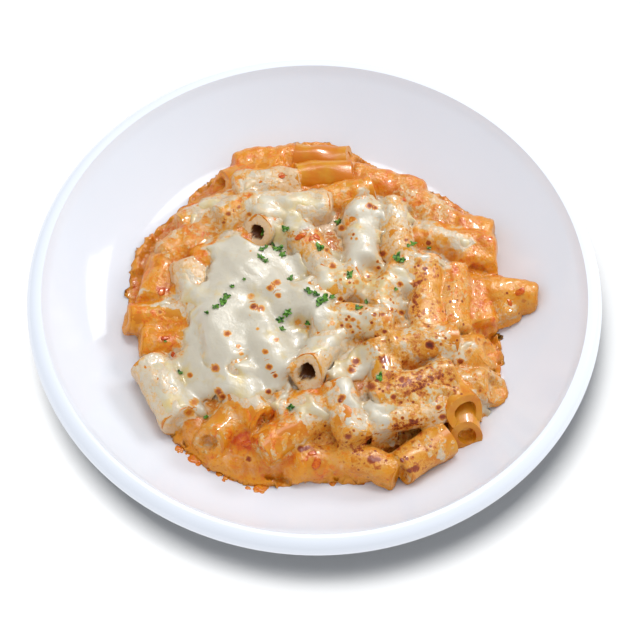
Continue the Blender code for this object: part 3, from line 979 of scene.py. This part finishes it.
def let_down(points, field):
    """Lowers each point straight down until it meets the food."""
    points = points.copy()
    for _ in range(34):
        outside = field(points)
        step = np.clip(outside * 0.9, -1.0, 3.0)
        step = np.where(outside > 0.12, np.maximum(step, 0.5), step)
        points[:, 2] = np.maximum(points[:, 2] - step, BASE_TOP)
    return points


def model_cheese():
    """A sheet that is let down on the heap from above, trimmed to the melted patches and thickened."""
    shapes = settings().shapes
    deselect_all()
    across, deep = HEAP_BOX[1].x - HEAP_BOX[0].x, HEAP_BOX[1].y - HEAP_BOX[0].y
    middle = (HEAP_BOX[0] + HEAP_BOX[1]) / 2.0
    bpy.ops.mesh.primitive_grid_add(
        x_subdivisions=round(across / shapes.cheese_grain),
        y_subdivisions=round(deep / shapes.cheese_grain),
        size=1.0,
        location=(middle.x, middle.y, HEAP_BOX[1].z + 8.0 * MM),
    )
    cheese = name_piece(bpy.context.object, "melted_cheese_blanket")
    cheese.scale = (across, deep, 1.0)
    apply_place(cheese)
    high = let_down(get_points(cheese), cheese_field)
    low = let_down(high + (0.0, 0.0, 2.0), lambda points: sauce_field(points) + 1.0)
    thick = cheese_thickness(high)
    share = np.clip(thick / 0.8, 0.0, 1.0)
    share = share * share * (3.0 - 2.0 * share)
    low[:, 2] = np.maximum(low[:, 2], high[:, 2] - 6.0)
    points = low + (high - low) * share[:, None]
    folds = sway(high, 7.0, 21) * 0.35 + sway(high, 2.6, 22) * 0.06
    points[:, 2] += (thick + folds) * share
    set_points(cheese, points)
    drop_faces(cheese, (thick < -0.6) | (high[:, 2] < BASE_TOP + 3.0))
    apply_modifier(cheese, "soften", "SMOOTH", factor=0.5, iterations=8)
    apply_modifier(cheese, "wall", "SOLIDIFY", thickness=shapes.cheese_wall, offset=-1.0)
    make_active(cheese)
    bpy.ops.object.shade_smooth()
    store_baking(cheese)
    store(cheese, "thick", np.clip(cheese_thickness(get_points(cheese)) / 1.6, 0.0, 1.0))
    return cheese


def drop_faces(obj, unwanted):
    """Deletes the vertices that are marked, and what hangs on them."""
    make_active(obj)
    bpy.ops.object.mode_set(mode="EDIT")
    bpy.ops.mesh.select_mode(type="VERT")
    bpy.ops.mesh.select_all(action="DESELECT")
    bpy.ops.object.mode_set(mode="OBJECT")
    obj.data.vertices.foreach_set("select", unwanted)
    bpy.ops.object.mode_set(mode="EDIT")
    bpy.ops.mesh.delete(type="VERT")
    bpy.ops.mesh.select_all(action="SELECT")
    bpy.ops.mesh.delete_loose()
    bpy.ops.object.mode_set(mode="OBJECT")


# Small pieces on top


def surface_point(across, up_view):
    """The food's surface where the diner sees a place, and its normal, in millimetres."""
    away = Vector((0.0, -math.cos(math.radians(VIEW_ELEVATION)), math.sin(math.radians(VIEW_ELEVATION))))
    start = Vector((across, up_view, LEVEL)) * MM + away * 0.1
    best = None
    for name in ("sauce", "melted_cheese_blanket", "rigatoni"):
        obj = bpy.data.objects.get(name)
        if obj is None:
            continue
        hit, place, normal, _ = obj.ray_cast(start, -away)
        if hit and (best is None or (place - start).length < (best[0] - start).length):
            best = (place, normal)
    if best is None:
        return None
    return best[0] / MM, best[1]


def model_flake(size, rng):
    """A torn leaf: a fan with a lobed edge, creased along its middle and curled."""
    deselect_all()
    bpy.ops.mesh.primitive_circle_add(vertices=18, radius=size * MM / 2.0, fill_type="TRIFAN")
    flake = bpy.context.object
    points = get_points(flake)
    turn = np.arctan2(points[:, 1], points[:, 0])
    reach = np.hypot(points[:, 0], points[:, 1])
    lobes = rng.choice((3, 4, 5))
    phase = rng.uniform(0.0, math.tau)
    ragged = 0.95 + 0.26 * np.sin(lobes * turn + phase) + 0.12 * np.sin(2.6 * lobes * turn + 2.0 * phase)
    slim = rng.uniform(0.55, 0.9)
    x = reach * ragged * np.cos(turn)
    y = reach * ragged * np.sin(turn) * slim
    z = rng.uniform(0.05, 0.2) * (x * x - 0.6 * y * y) / size + rng.uniform(0.15, 0.4) * np.abs(y)
    z += 0.1 * size * np.sin(3.0 * turn + phase) * (reach > 0.1)
    set_points(flake, np.stack((x, y, z), axis=1))
    apply_modifier(flake, "leaf", "SOLIDIFY", thickness=settings().shapes.parsley_thickness, offset=0.0)
    return flake


def lay_on(obj, place, normal, heading, lift):
    """Lays a piece that was modelled flat at the origin on a surface."""
    up = normal.normalized()
    ahead = Vector((math.cos(heading), math.sin(heading), 0.0))
    side = up.cross(ahead).normalized()
    ahead = side.cross(up)
    turn = Matrix((ahead, side, up)).transposed().to_4x4()
    obj.data.transform(Matrix.Translation((place + up * lift) * MM) @ turn)


def model_parsley():
    rng = random.Random(23)
    flakes = []
    for across, up_view, size, heading in PARSLEY_FLAKES:
        found = surface_point(across, up_view)
        if found is None:
            raise RuntimeError("a flake of parsley would miss the food")
        flake = model_flake(size, rng)
        normal = (found[1] + Vector((0.0, 0.0, 1.0))).normalized()
        lay_on(flake, found[0], normal, math.radians(heading), 0.5)
        flakes.append(flake)
    return join_pieces(flakes, "parsley_flakes")


def model_blob(radius, height, seed):
    """A lump with an uneven outline, modelled round the origin."""
    deselect_all()
    bpy.ops.mesh.primitive_ico_sphere_add(subdivisions=3, radius=radius * MM)
    blob = bpy.context.object
    points = get_points(blob)
    uneven = 1.0 + sway(points, radius * 0.8, seed) * 0.2
    points *= uneven[:, None]
    points[:, 2] *= height / radius
    set_points(blob, points)
    return blob


def model_tomato():
    rng = random.Random(31)
    bits = []
    for across, up_view, size, heading in TOMATO_BITS:
        found = surface_point(across, up_view)
        if found is None:
            raise RuntimeError("a bit of tomato would miss the food")
        bit = model_blob(size / 2.0, size * 0.15, rng.randrange(1000))
        bit.data.transform(Matrix.Diagonal((1.0, rng.uniform(0.55, 0.75), 1.0, 1.0)))
        lay_on(bit, found[0], found[1], math.radians(heading), 0.1)
        bits.append(bit)
    tomato = join_pieces(bits, "tomato_bits")
    bpy.ops.object.shade_smooth()
    return tomato


def model_spatter():
    """Drops of sauce on the plate: those that stand alone, and a spray at the heap's front left."""
    rng = random.Random(8)
    rows = list(SAUCE_DROPS)
    for _ in range(SPRAY_COUNT):
        share, spread = rng.random(), rng.gauss(0.0, 0.5)
        x0, v0, x1, v1, half = SPRAY_STROKE
        across = x0 + share * (x1 - x0) + spread * half * 0.4 + rng.uniform(-2.0, 2.0)
        up_view = v0 + share * (v1 - v0) + spread * half
        rows.append((across, up_view, rng.choice((0.5, 0.6, 0.7, 0.9, 1.2, 1.6, 2.4))))
    drops = []
    for across, up_view, radius in rows:
        y = up_view + LEAN * (LEVEL - BASE_TOP)
        base = float(inner_height(math.hypot(across, y)))
        drop = model_blob(radius, min(radius * 0.4, 0.7), rng.randrange(1000))
        drop.data.transform(Matrix.Translation(Vector((across, y, base + 0.05)) * MM))
        drops.append(drop)
    spatter = join_pieces(drops, "sauce_drops")
    bpy.ops.object.shade_smooth()
    return spatter


# Materials


class Value:
    """One socket of a material's nodes. Arithmetic on it adds Math nodes."""

    def __init__(self, finish, socket):
        self.finish = finish
        self.socket = socket

    def maths(self, operation, *values, clamp=False):
        inputs = dict(enumerate(values))
        made = self.finish.node("ShaderNodeMath", {"operation": operation, "use_clamp": clamp}, inputs)
        return Value(self.finish, made.outputs[0])

    def __add__(self, other):
        return self.maths("ADD", self, other)

    __radd__ = __add__

    def __mul__(self, other):
        return self.maths("MULTIPLY", self, other)

    __rmul__ = __mul__

    def __sub__(self, other):
        return self.maths("SUBTRACT", self, other)

    def __rsub__(self, other):
        return self.maths("SUBTRACT", other, self)

    def __truediv__(self, other):
        return self.maths("DIVIDE", self, other)

    def __pow__(self, other):
        return self.maths("POWER", self, other)

    def clamped(self):
        return self.maths("ADD", self, 0.0, clamp=True)

    def at_least(self, other):
        return self.maths("MAXIMUM", self, other)

    def between(self, low, high):
        """0 below low, 1 above high, and an eased slope between."""
        inputs = {"Value": self, "From Min": low, "From Max": high, "To Min": 0.0, "To Max": 1.0}
        made = self.finish.node("ShaderNodeMapRange", {"interpolation_type": "SMOOTHSTEP"}, inputs)
        return Value(self.finish, made.outputs["Result"])


class Finish:
    """A material's nodes, added one by one and wired as they are added."""

    def __init__(self, name):
        self.material = bpy.data.materials.new(name)
        self.material.use_nodes = True
        self.tree = self.material.node_tree
        self.tree.nodes.clear()
        place = self.node("ShaderNodeTexCoord")
        self.place = Value(self, place.outputs["Object"])

    def node(self, kind, choices=None, inputs=None):
        made = self.tree.nodes.new(kind)
        for key, value in (choices or {}).items():
            if key == "stops":
                self.set_stops(made.color_ramp, value)
            else:
                setattr(made, key, value)
        for key, value in (inputs or {}).items():
            if isinstance(value, Value):
                self.tree.links.new(value.socket, made.inputs[key])
            else:
                made.inputs[key].default_value = value
        return made

    def set_stops(self, ramp, stops):
        while len(ramp.elements) < len(stops):
            ramp.elements.new(1.0)
        for element, (position, colour) in zip(ramp.elements, stops):
            element.position = position
            element.color = (*colour, 1.0)

    def grain(self, size, detail=2.0, roughness=0.5, distortion=0.0):
        """Noise from 0 to 1 whose features are about the given size in millimetres."""
        inputs = {"Vector": self.place, "Scale": 1.0 / (size * MM), "Detail": detail}
        inputs.update({"Roughness": roughness, "Distortion": distortion})
        made = self.node("ShaderNodeTexNoise", {"noise_dimensions": "3D"}, inputs)
        return Value(self, made.outputs[0])

    def cells(self, size, feature="F1"):
        """The distance to the nearest of scattered points, in cells."""
        inputs = {"Vector": self.place, "Scale": 1.0 / (size * MM)}
        made = self.node("ShaderNodeTexVoronoi", {"feature": feature}, inputs)
        return Value(self, made.outputs["Distance"])

    def kept(self, name):
        """A number that was kept for each vertex."""
        made = self.node("ShaderNodeAttribute", {"attribute_name": name})
        return Value(self, made.outputs["Fac"])

    def ramp(self, factor, *stops):
        made = self.node("ShaderNodeValToRGB", {"stops": stops}, {"Fac": factor})
        return Value(self, made.outputs["Color"])

    def mixed(self, factor, first, second):
        """Two colours, mixed by a factor."""
        first, second = (
            value if isinstance(value, Value) else (*tuple(value), 1.0) for value in (first, second)
        )
        made = self.node("ShaderNodeMix", {"data_type": "RGBA"}, {0: factor, 6: first, 7: second})
        return Value(self, made.outputs[2])

    def bump(self, height, depth, strength=1.0, under=None):
        inputs = {"Strength": strength, "Distance": depth * MM, "Height": height}
        if under is not None:
            inputs["Normal"] = under
        made = self.node("ShaderNodeBump", None, inputs)
        return Value(self, made.outputs["Normal"])

    def surface(self, **inputs):
        """The shader and the output. Sockets are named with underscores for spaces."""
        named = {key.replace("_", " "): value for key, value in inputs.items()}
        shader = self.node("ShaderNodeBsdfPrincipled", None, named)
        self.node("ShaderNodeOutputMaterial", None, {"Surface": Value(self, shader.outputs[0])})
        return self.material


def baked_colours(finish, colour, strength):
    """A colour as it browns in the oven, from 0, raw, to 1, nearly burnt."""
    colours = settings().colours
    colour = finish.mixed(strength.between(0.04, 0.24), colour, colours.toast_straw)
    colour = finish.mixed(strength.between(0.2, 0.48), colour, colours.toast_gold)
    colour = finish.mixed(strength.between(0.4, 0.7), colour, colours.toast_brown)
    return finish.mixed(strength.between(0.78, 1.1), colour, colours.toast_black)


def browning(finish, eagerness):
    """How baked a place is: its own spots and crusts, and the oven's speckle where everything is toasted."""
    wobble = (finish.grain(1.6, 2.0, 0.5) - 0.5) * 0.9
    ragged = finish.grain(1.4, 4.0, 0.7)
    aside, above = finish.kept("spot_across") + wobble, finish.kept("spot_up") - wobble
    away = (aside * aside + above * above) ** 0.5
    spots = finish.kept("spot") * (1.0 - away.between(0.25, 1.35))
    toasted = finish.kept("toasted")
    blotches = finish.grain(3.6, 5.0, 0.7)
    broken = finish.kept("baked") + (ragged - 0.5) * 1.8 + (blotches - 0.5) * 1.6
    crusts = broken.between(0.3, 1.3) * finish.kept("baked").between(0.05, 0.4)
    speckle = (blotches + toasted * 0.2).between(0.5, 0.9) * toasted * 0.9
    tanned = (toasted * 0.4 + (blotches - 0.5) * 2.4).clamped() * toasted * 0.62
    gate = (finish.grain(7.0, 2.0) + toasted * 0.42 - 0.12).between(0.48, 0.72)
    dots = (1.0 - finish.cells(3.4).between(0.1, 0.36)) * gate * (ragged + 0.25)
    blistered = finish.cells(8.5) + (ragged - 0.5) * 0.12
    blisters = (1.0 - blistered.between(0.08, 0.24)) * toasted.between(0.3, 0.7)
    toasts = speckle.at_least(dots).at_least(blisters * 0.8).at_least(tanned) * eagerness
    return spots.at_least(toasts).at_least(crusts)


def glaze_finish():
    colours = settings().colours
    finish = Finish("white_glaze")
    height = finish.node("ShaderNodeSeparateXYZ", None, {0: finish.place})
    bare = 1.0 - Value(finish, height.outputs[2]).between(0.25 * MM, 0.6 * MM)
    cloud = finish.grain(38.0, 2.0)
    tinted = tuple(channel * 0.965 for channel in colours.glaze)
    colour = finish.mixed(cloud, colours.glaze, tinted)
    specks = finish.cells(9.0).between(0.0, 0.035)
    colour = finish.mixed(specks, tuple(channel * 0.86 for channel in colours.glaze), colour)
    colour = finish.mixed(bare, colour, colours.foot)
    peel = finish.grain(6.0, 2.0)
    roughness = 0.1 + peel * 0.05 + bare * 0.5
    normal = finish.bump(peel + finish.grain(1.6, 1.0) * bare, 0.03)
    return finish.surface(Base_Color=colour, Roughness=roughness, Normal=normal, IOR=1.5)


def creamy_film(finish, amount):
    """Where curdled cream lies over the sauce, from 0 to 1, in curds and streaks."""
    streaks = finish.grain(5.5, 6.0, 0.68, 0.9)
    curds = finish.grain(1.9, 4.0, 0.7, 0.3)
    return (amount * 0.5 + streaks * 0.85 + curds * 0.45).between(0.84, 1.04)


def stirred_sauce(finish, middle):
    """The colours of a split tomato cream sauce, in streaks of different sizes."""
    colours = settings().colours
    large = finish.grain(12.0, 3.0, 0.6, 0.8)
    mixed = middle * 0.75 + large * 0.5
    return finish.ramp(
        mixed,
        (0.42, colours.sauce_red),
        (0.52, colours.sauce_orange),
        (0.64, colours.sauce_amber),
        (0.76, colours.sauce_blush),
        (0.9, colours.sauce_cream),
    )


def sauce_finish():
    colours = settings().colours
    finish = Finish("tomato_cream_sauce")
    middle, fine = finish.grain(4.0, 6.0, 0.7, 0.6), finish.grain(0.9, 3.0)
    colour = stirred_sauce(finish, middle)
    # Painted shade: the sauce is darkened in the nooks between tubes, away from the pool's edge.
    nook = finish.kept("nook") * (1.0 - finish.kept("edge"))
    colour = finish.mixed(nook * 0.6, colour, colours.sauce_nook_shade)
    edge = (finish.kept("edge") + (middle - 0.5) * 0.9).between(0.5, 1.0)
    colour = finish.mixed(edge * 0.75, colour, colours.sauce_amber)
    redness = (finish.kept("tomato") + (middle - 0.5) * 1.6).between(0.4, 0.95)
    flecks = finish.grain(2.2, 3.0, 0.65, 0.4).between(0.6, 0.7) * 0.6
    colour = finish.mixed(redness.at_least(flecks), colour, colours.sauce_red)
    cream = finish.kept("cream") * (1.0 - redness * 0.7)
    film = creamy_film(finish, cream)
    colour = finish.mixed(film.between(0.0, 0.6) * 0.7, colour, colours.sauce_gold)
    colour = finish.mixed(film.between(0.25, 1.0) * 0.85, colour, colours.sauce_cream)
    melted = finish.kept("melt") + (middle - 0.5) * 1.8 + (fine - 0.5) * 0.5
    colour = finish.mixed(melted.between(0.3, 0.8) * 0.6, colour, colours.sauce_gold)
    colour = finish.mixed(melted.between(0.6, 1.15) * 0.85, colour, colours.cheese_white)
    browned = browning(finish, 1.0)
    colour = baked_colours(finish, colour, browned)
    # Painted shade: the sauce deep in an open bore is painted nearly black.
    colour = finish.mixed(finish.kept("bored").between(0.05, 0.4) * 0.9, colour, colours.sauce_bore_shade)
    roughness = 0.2 + fine * 0.2 + browned * 0.12
    curds = finish.cells(1.5, "SMOOTH_F1")
    normal = finish.bump(middle * 0.7 + film * 0.3 + fine * 0.3 + curds * 0.45, 0.7, 0.95)
    return finish.surface(
        Base_Color=colour,
        Roughness=roughness,
        Normal=normal,
        IOR=1.42,
        Coat_Weight=0.22,
        Coat_Roughness=0.08,
        Subsurface_Weight=0.1,
        Subsurface_Radius=(1.0, 0.5, 0.2),
        Subsurface_Scale=0.001,
    )


def pasta_finish():
    colours = settings().colours
    finish = Finish("cooked_pasta")
    large, middle, fine = finish.grain(13.0, 3.0), finish.grain(3.6, 5.0, 0.65, 0.5), finish.grain(0.8, 2.0)
    colour = finish.mixed(large.between(0.38, 0.68), colours.pasta_amber, colours.pasta_pale)
    stained = (middle + finish.kept("tomato") * 0.4).between(0.5, 0.72)
    colour = finish.mixed(stained * 0.3, colour, colours.sauce_orange)
    film = creamy_film(finish, large * 0.35)
    colour = finish.mixed(film * 0.5, colour, colours.sauce_gold)
    browned = browning(finish, 0.9)
    colour = baked_colours(finish, colour, browned)
    roughness = 0.22 + fine * 0.2 + browned * 0.2
    normal = finish.bump(middle * 0.5 + film * 0.3 + fine * 0.25, 0.18, 0.8)
    return finish.surface(
        Base_Color=colour,
        Roughness=roughness,
        Normal=normal,
        IOR=1.42,
        Coat_Weight=0.22,
        Coat_Roughness=0.08,
        Subsurface_Weight=0.15,
        Subsurface_Radius=(1.0, 0.6, 0.25),
        Subsurface_Scale=0.0015,
    )


def cheese_finish():
    colours = settings().colours
    finish = Finish("melted_cheese")
    large, middle, fine = finish.grain(14.0, 3.0), finish.grain(4.0, 5.0, 0.65, 0.7), finish.grain(1.0, 3.0)
    thick = finish.kept("thick")
    fatty = (0.75 - thick * 0.7 + (middle - 0.5) * 0.9 + (large - 0.5) * 1.6).clamped()
    colour = finish.mixed(fatty.between(0.15, 0.85), colours.cheese_white, colours.cheese_yellow)
    thin = 0.75 - thick * 1.3 + (middle - 0.5) * 1.8
    colour = finish.mixed(thin.between(0.1, 0.6) * 0.8, colour, colours.sauce_cream)
    colour = finish.mixed(thin.between(0.45, 1.0) * 0.7, colour, colours.sauce_gold)
    through = (0.42 - thick * 1.6 + (fine - 0.5) * 0.8 + (middle - 0.5) * 1.8).between(0.1, 0.5)
    colour = finish.mixed(through * 0.85, colour, colours.sauce_amber)
    redness = (finish.kept("tomato") + (middle - 0.5) * 1.2).between(0.4, 0.9)
    colour = finish.mixed(redness * 0.8, colour, colours.sauce_red)
    browned = browning(finish, 0.85)
    colour = baked_colours(finish, colour, browned)
    roughness = 0.26 + middle * 0.14 + browned * 0.15
    normal = finish.bump(middle * 0.8 + fine * 0.2 + through * -0.3 + browned * 0.4, 0.6, 0.85)
    return finish.surface(
        Base_Color=colour,
        Roughness=roughness,
        Normal=normal,
        IOR=1.43,
        Coat_Weight=0.3,
        Coat_Roughness=0.08,
        Subsurface_Weight=0.25,
        Subsurface_Radius=(1.0, 0.85, 0.65),
        Subsurface_Scale=0.0015,
    )


def parsley_finish():
    colours = settings().colours
    finish = Finish("parsley_leaf")
    veins_and_fold_shade = finish.grain(1.3, 3.0)
    # Dark green patches are painted shade in the leaf's folds; the same noise also bumps the veins.
    colour = finish.mixed(veins_and_fold_shade.between(0.35, 0.62), colours.parsley_dark, colours.parsley_green)
    normal = finish.bump(veins_and_fold_shade, 0.12, 0.8)
    return finish.surface(Base_Color=colour, Roughness=0.36 + veins_and_fold_shade * 0.2, Normal=normal, IOR=1.45)


def tomato_finish():
    colours = settings().colours
    finish = Finish("stewed_tomato")
    middle, fine = finish.grain(2.2, 4.0, 0.6, 0.5), finish.grain(0.7, 2.0)
    colour = finish.mixed(middle.between(0.35, 0.68), colours.tomato, colours.sauce_orange)
    normal = finish.bump(middle + fine * 0.3, 0.3, 0.8)
    return finish.surface(
        Base_Color=colour,
        Roughness=0.2 + fine * 0.15,
        Normal=normal,
        IOR=1.4,
        Coat_Weight=0.4,
        Coat_Roughness=0.1,
    )


def spatter_finish():
    colours = settings().colours
    finish = Finish("spattered_sauce")
    middle, fine = finish.grain(2.4, 3.0, 0.6), finish.grain(0.8, 2.0)
    colour = finish.mixed(middle.between(0.35, 0.6), colours.sauce_amber, colours.sauce_orange)
    film = creamy_film(finish, fine * 0.7)
    colour = finish.mixed(film * 0.7, colour, colours.sauce_blush)
    normal = finish.bump(middle + fine * 0.3, 0.3, 0.8)
    return finish.surface(
        Base_Color=colour,
        Roughness=0.22 + fine * 0.15,
        Normal=normal,
        IOR=1.4,
        Coat_Weight=0.4,
        Coat_Roughness=0.1,
    )


# Operators


class BAKED_PASTA_OT_plate(bpy.types.Operator):
    """Turn the coupe plate and glaze it"""

    bl_idname = "baked_pasta.plate"
    bl_label = "Coupe Plate"

    def execute(self, context):
        plate = turned_piece("coupe_plate", plate_profile(), settings().shapes.plate_sides)
        finish_piece(plate, glaze_finish(), "white_glaze", "plate")
        return {"FINISHED"}


class BAKED_PASTA_OT_rigatoni(bpy.types.Operator):
    """Model a ridged tube of pasta and lay its copies in a heap"""

    bl_idname = "baked_pasta.rigatoni"
    bl_label = "Rigatoni"

    def execute(self, context):
        rigatoni = model_rigatoni()
        make_active(rigatoni)
        bpy.ops.object.shade_smooth_by_angle(angle=math.radians(50.0))
        store_baking(rigatoni)
        finish_piece(rigatoni, pasta_finish(), "sauced_pasta", "pasta_heap")
        return {"FINISHED"}


class BAKED_PASTA_OT_sauce(bpy.types.Operator):
    """Melt a coat of sauce round the tubes, with a pool under them"""

    bl_idname = "baked_pasta.sauce"
    bl_label = "Tomato Cream Sauce"

    def execute(self, context):
        finish_piece(model_sauce(), sauce_finish(), "tomato_cream_sauce", "sauce_pool")
        return {"FINISHED"}


class BAKED_PASTA_OT_cheese(bpy.types.Operator):
    """Drape melted cheese over the heap and brown it"""

    bl_idname = "baked_pasta.cheese"
    bl_label = "Melted Cheese"

    def execute(self, context):
        finish_piece(model_cheese(), cheese_finish(), "melted_cheese", "melted_cheese")
        return {"FINISHED"}


class BAKED_PASTA_OT_parsley(bpy.types.Operator):
    """Scatter chopped parsley over the cheese"""

    bl_idname = "baked_pasta.parsley"
    bl_label = "Parsley"

    def execute(self, context):
        finish_piece(model_parsley(), parsley_finish(), "parsley")
        return {"FINISHED"}


class BAKED_PASTA_OT_tomato(bpy.types.Operator):
    """Lay soft bits of tomato on the sauce"""

    bl_idname = "baked_pasta.tomato"
    bl_label = "Tomato"

    def execute(self, context):
        finish_piece(model_tomato(), tomato_finish(), "tomato")
        return {"FINISHED"}


class BAKED_PASTA_OT_spatter(bpy.types.Operator):
    """Drip sauce on the plate round the heap"""

    bl_idname = "baked_pasta.spatter"
    bl_label = "Spattered Sauce"

    def execute(self, context):
        finish_piece(model_spatter(), spatter_finish(), "tomato_cream_sauce")
        return {"FINISHED"}


class BAKED_PASTA_OT_stage(bpy.types.Operator):
    """Set the floor, the lights and the camera"""

    bl_idname = "baked_pasta.stage"
    bl_label = "Stage"

    def execute(self, context):
        add_lights(add_floor())
        add_camera()
        return {"FINISHED"}


def add_floor():
    deselect_all()
    bpy.ops.mesh.primitive_plane_add(size=6.0, location=(0.0, 0.0, -0.0002))
    floor = name_piece(bpy.context.object, "studio_floor")
    apply_place(floor)
    finish = Finish("pale_paper")
    colour = finish.mixed(finish.grain(60.0), (0.355, 0.355, 0.355), (0.345, 0.345, 0.345))
    floor.data.materials.append(finish.surface(Base_Color=colour, Roughness=0.9, Specular_IOR_Level=0.0))
    floor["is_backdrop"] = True
    return floor


def add_light(name, place, size, power, colour):
    data = bpy.data.lights.new(name, "AREA")
    data.shape = "RECTANGLE"
    data.size, data.size_y = size
    data.energy = power
    data.color = colour
    light = bpy.data.objects.new(name, data)
    bpy.context.scene.collection.objects.link(light)
    light.location = place
    light.rotation_euler = (Vector((0.0, 0.0, 0.02)) - Vector(place)).to_track_quat("-Z", "Y").to_euler()
    return light


def limit_light(light, objects, state):
    """Keeps a light off the objects, or on them alone."""
    reached = bpy.data.collections.new(light.name + "_reaches")
    for number, obj in enumerate(objects):
        reached.objects.link(obj)
        reached.collection_objects[number].light_linking.link_state = state
    light.light_linking.receiver_collection = reached


def add_lights(floor):
    """A window at the back right, a softbox overhead, a glint on the food, and a lamp for the floor."""
    food = [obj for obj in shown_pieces() if obj.name != "coupe_plate"]
    window = add_light("window", (0.85, 0.6, 0.62), (0.5, 0.4), 4.0, (0.95, 0.98, 1.0))
    limit_light(window, [floor], "EXCLUDE")
    softbox = add_light("softbox", (0.08, 0.3, 1.15), (0.7, 0.3), 4.0, (0.97, 0.99, 1.0))
    limit_light(softbox, [floor], "EXCLUDE")
    glint = add_light("glint", (0.4, 0.62, 0.85), (0.14, 0.14), 15.0, (1.0, 0.98, 0.95))
    glint.visible_diffuse = False
    limit_light(glint, food, "INCLUDE")
    lamp = add_light("floor_lamp", (-0.18, -0.19, 1.8), (0.6, 0.6), 78.0, (1.0, 1.0, 1.0))
    limit_light(lamp, [floor], "INCLUDE")
    world = bpy.data.worlds.new("studio")
    bpy.context.scene.world = world
    world.use_nodes = True
    nodes, links = world.node_tree.nodes, world.node_tree.links
    sky = nodes["Background"]
    sky.inputs["Color"].default_value = (0.91, 0.95, 1.0, 1.0)
    rays, strength = nodes.new("ShaderNodeLightPath"), nodes.new("ShaderNodeMapRange")
    links.new(rays.outputs["Is Glossy Ray"], strength.inputs["Value"])
    strength.inputs["To Min"].default_value = 0.89
    strength.inputs["To Max"].default_value = 0.1
    links.new(strength.outputs["Result"], sky.inputs["Strength"])


def add_camera():
    """A long lens that looks down on the plate from the diner's side, with the picture turned a little."""
    roll = math.radians(VIEW_ROLL)
    target = Vector(VIEW_AIM) * MM
    rise = math.radians(VIEW_ELEVATION)
    back = Vector((0.0, -math.cos(rise), math.sin(rise)))
    right, up = Vector((1.0, 0.0, 0.0)), Vector((0.0, math.sin(rise), math.cos(rise)))
    turned_right = right * math.cos(roll) + up * math.sin(roll)
    turned_up = up * math.cos(roll) - right * math.sin(roll)
    camera = bpy.data.objects.new("camera", bpy.data.cameras.new("camera"))
    camera.data.sensor_width = 36.0
    camera.data.lens = VIEW_LENS
    camera.data.clip_start = 0.01
    turn = Matrix((turned_right, turned_up, back)).transposed().to_4x4()
    camera.matrix_world = Matrix.Translation(target + back * VIEW_DISTANCE * MM) @ turn
    bpy.context.scene.collection.objects.link(camera)
    bpy.context.scene.camera = camera
    bpy.context.scene.view_settings.view_transform = "Standard"


class BAKED_PASTA_PT_panel(bpy.types.Panel):
    """The plate and its food, piece by piece"""

    bl_idname = "BAKED_PASTA_PT_panel"
    bl_label = "Baked Pasta"
    bl_space_type = "VIEW_3D"
    bl_region_type = "UI"
    bl_category = "Baked Pasta"

    def draw(self, context):
        for group in (settings().shapes, settings().colours):
            box = self.layout.box()
            for key in group.__annotations__:
                box.prop(group, key)
        for operator in OPERATORS:
            self.layout.operator(operator.bl_idname)


OPERATORS = (
    BAKED_PASTA_OT_plate,
    BAKED_PASTA_OT_rigatoni,
    BAKED_PASTA_OT_sauce,
    BAKED_PASTA_OT_cheese,
    BAKED_PASTA_OT_parsley,
    BAKED_PASTA_OT_tomato,
    BAKED_PASTA_OT_spatter,
    BAKED_PASTA_OT_stage,
)
CLASSES = (BakedPastaShapes, BakedPastaColours, BakedPastaSettings) + OPERATORS + (BAKED_PASTA_PT_panel,)


def register():
    for each in CLASSES:
        bpy.utils.register_class(each)
    bpy.types.Scene.baked_pasta = bpy.props.PointerProperty(type=BakedPastaSettings)


def unregister():
    del bpy.types.Scene.baked_pasta
    for each in reversed(CLASSES):
        bpy.utils.unregister_class(each)


def main():
    register()
    bpy.ops.baked_pasta.plate()
    bpy.ops.baked_pasta.rigatoni()
    bpy.ops.baked_pasta.sauce()
    bpy.ops.baked_pasta.cheese()
    bpy.ops.baked_pasta.parsley()
    bpy.ops.baked_pasta.tomato()
    bpy.ops.baked_pasta.spatter()
    bpy.ops.baked_pasta.stage()


if __name__ == "__main__":
    main()
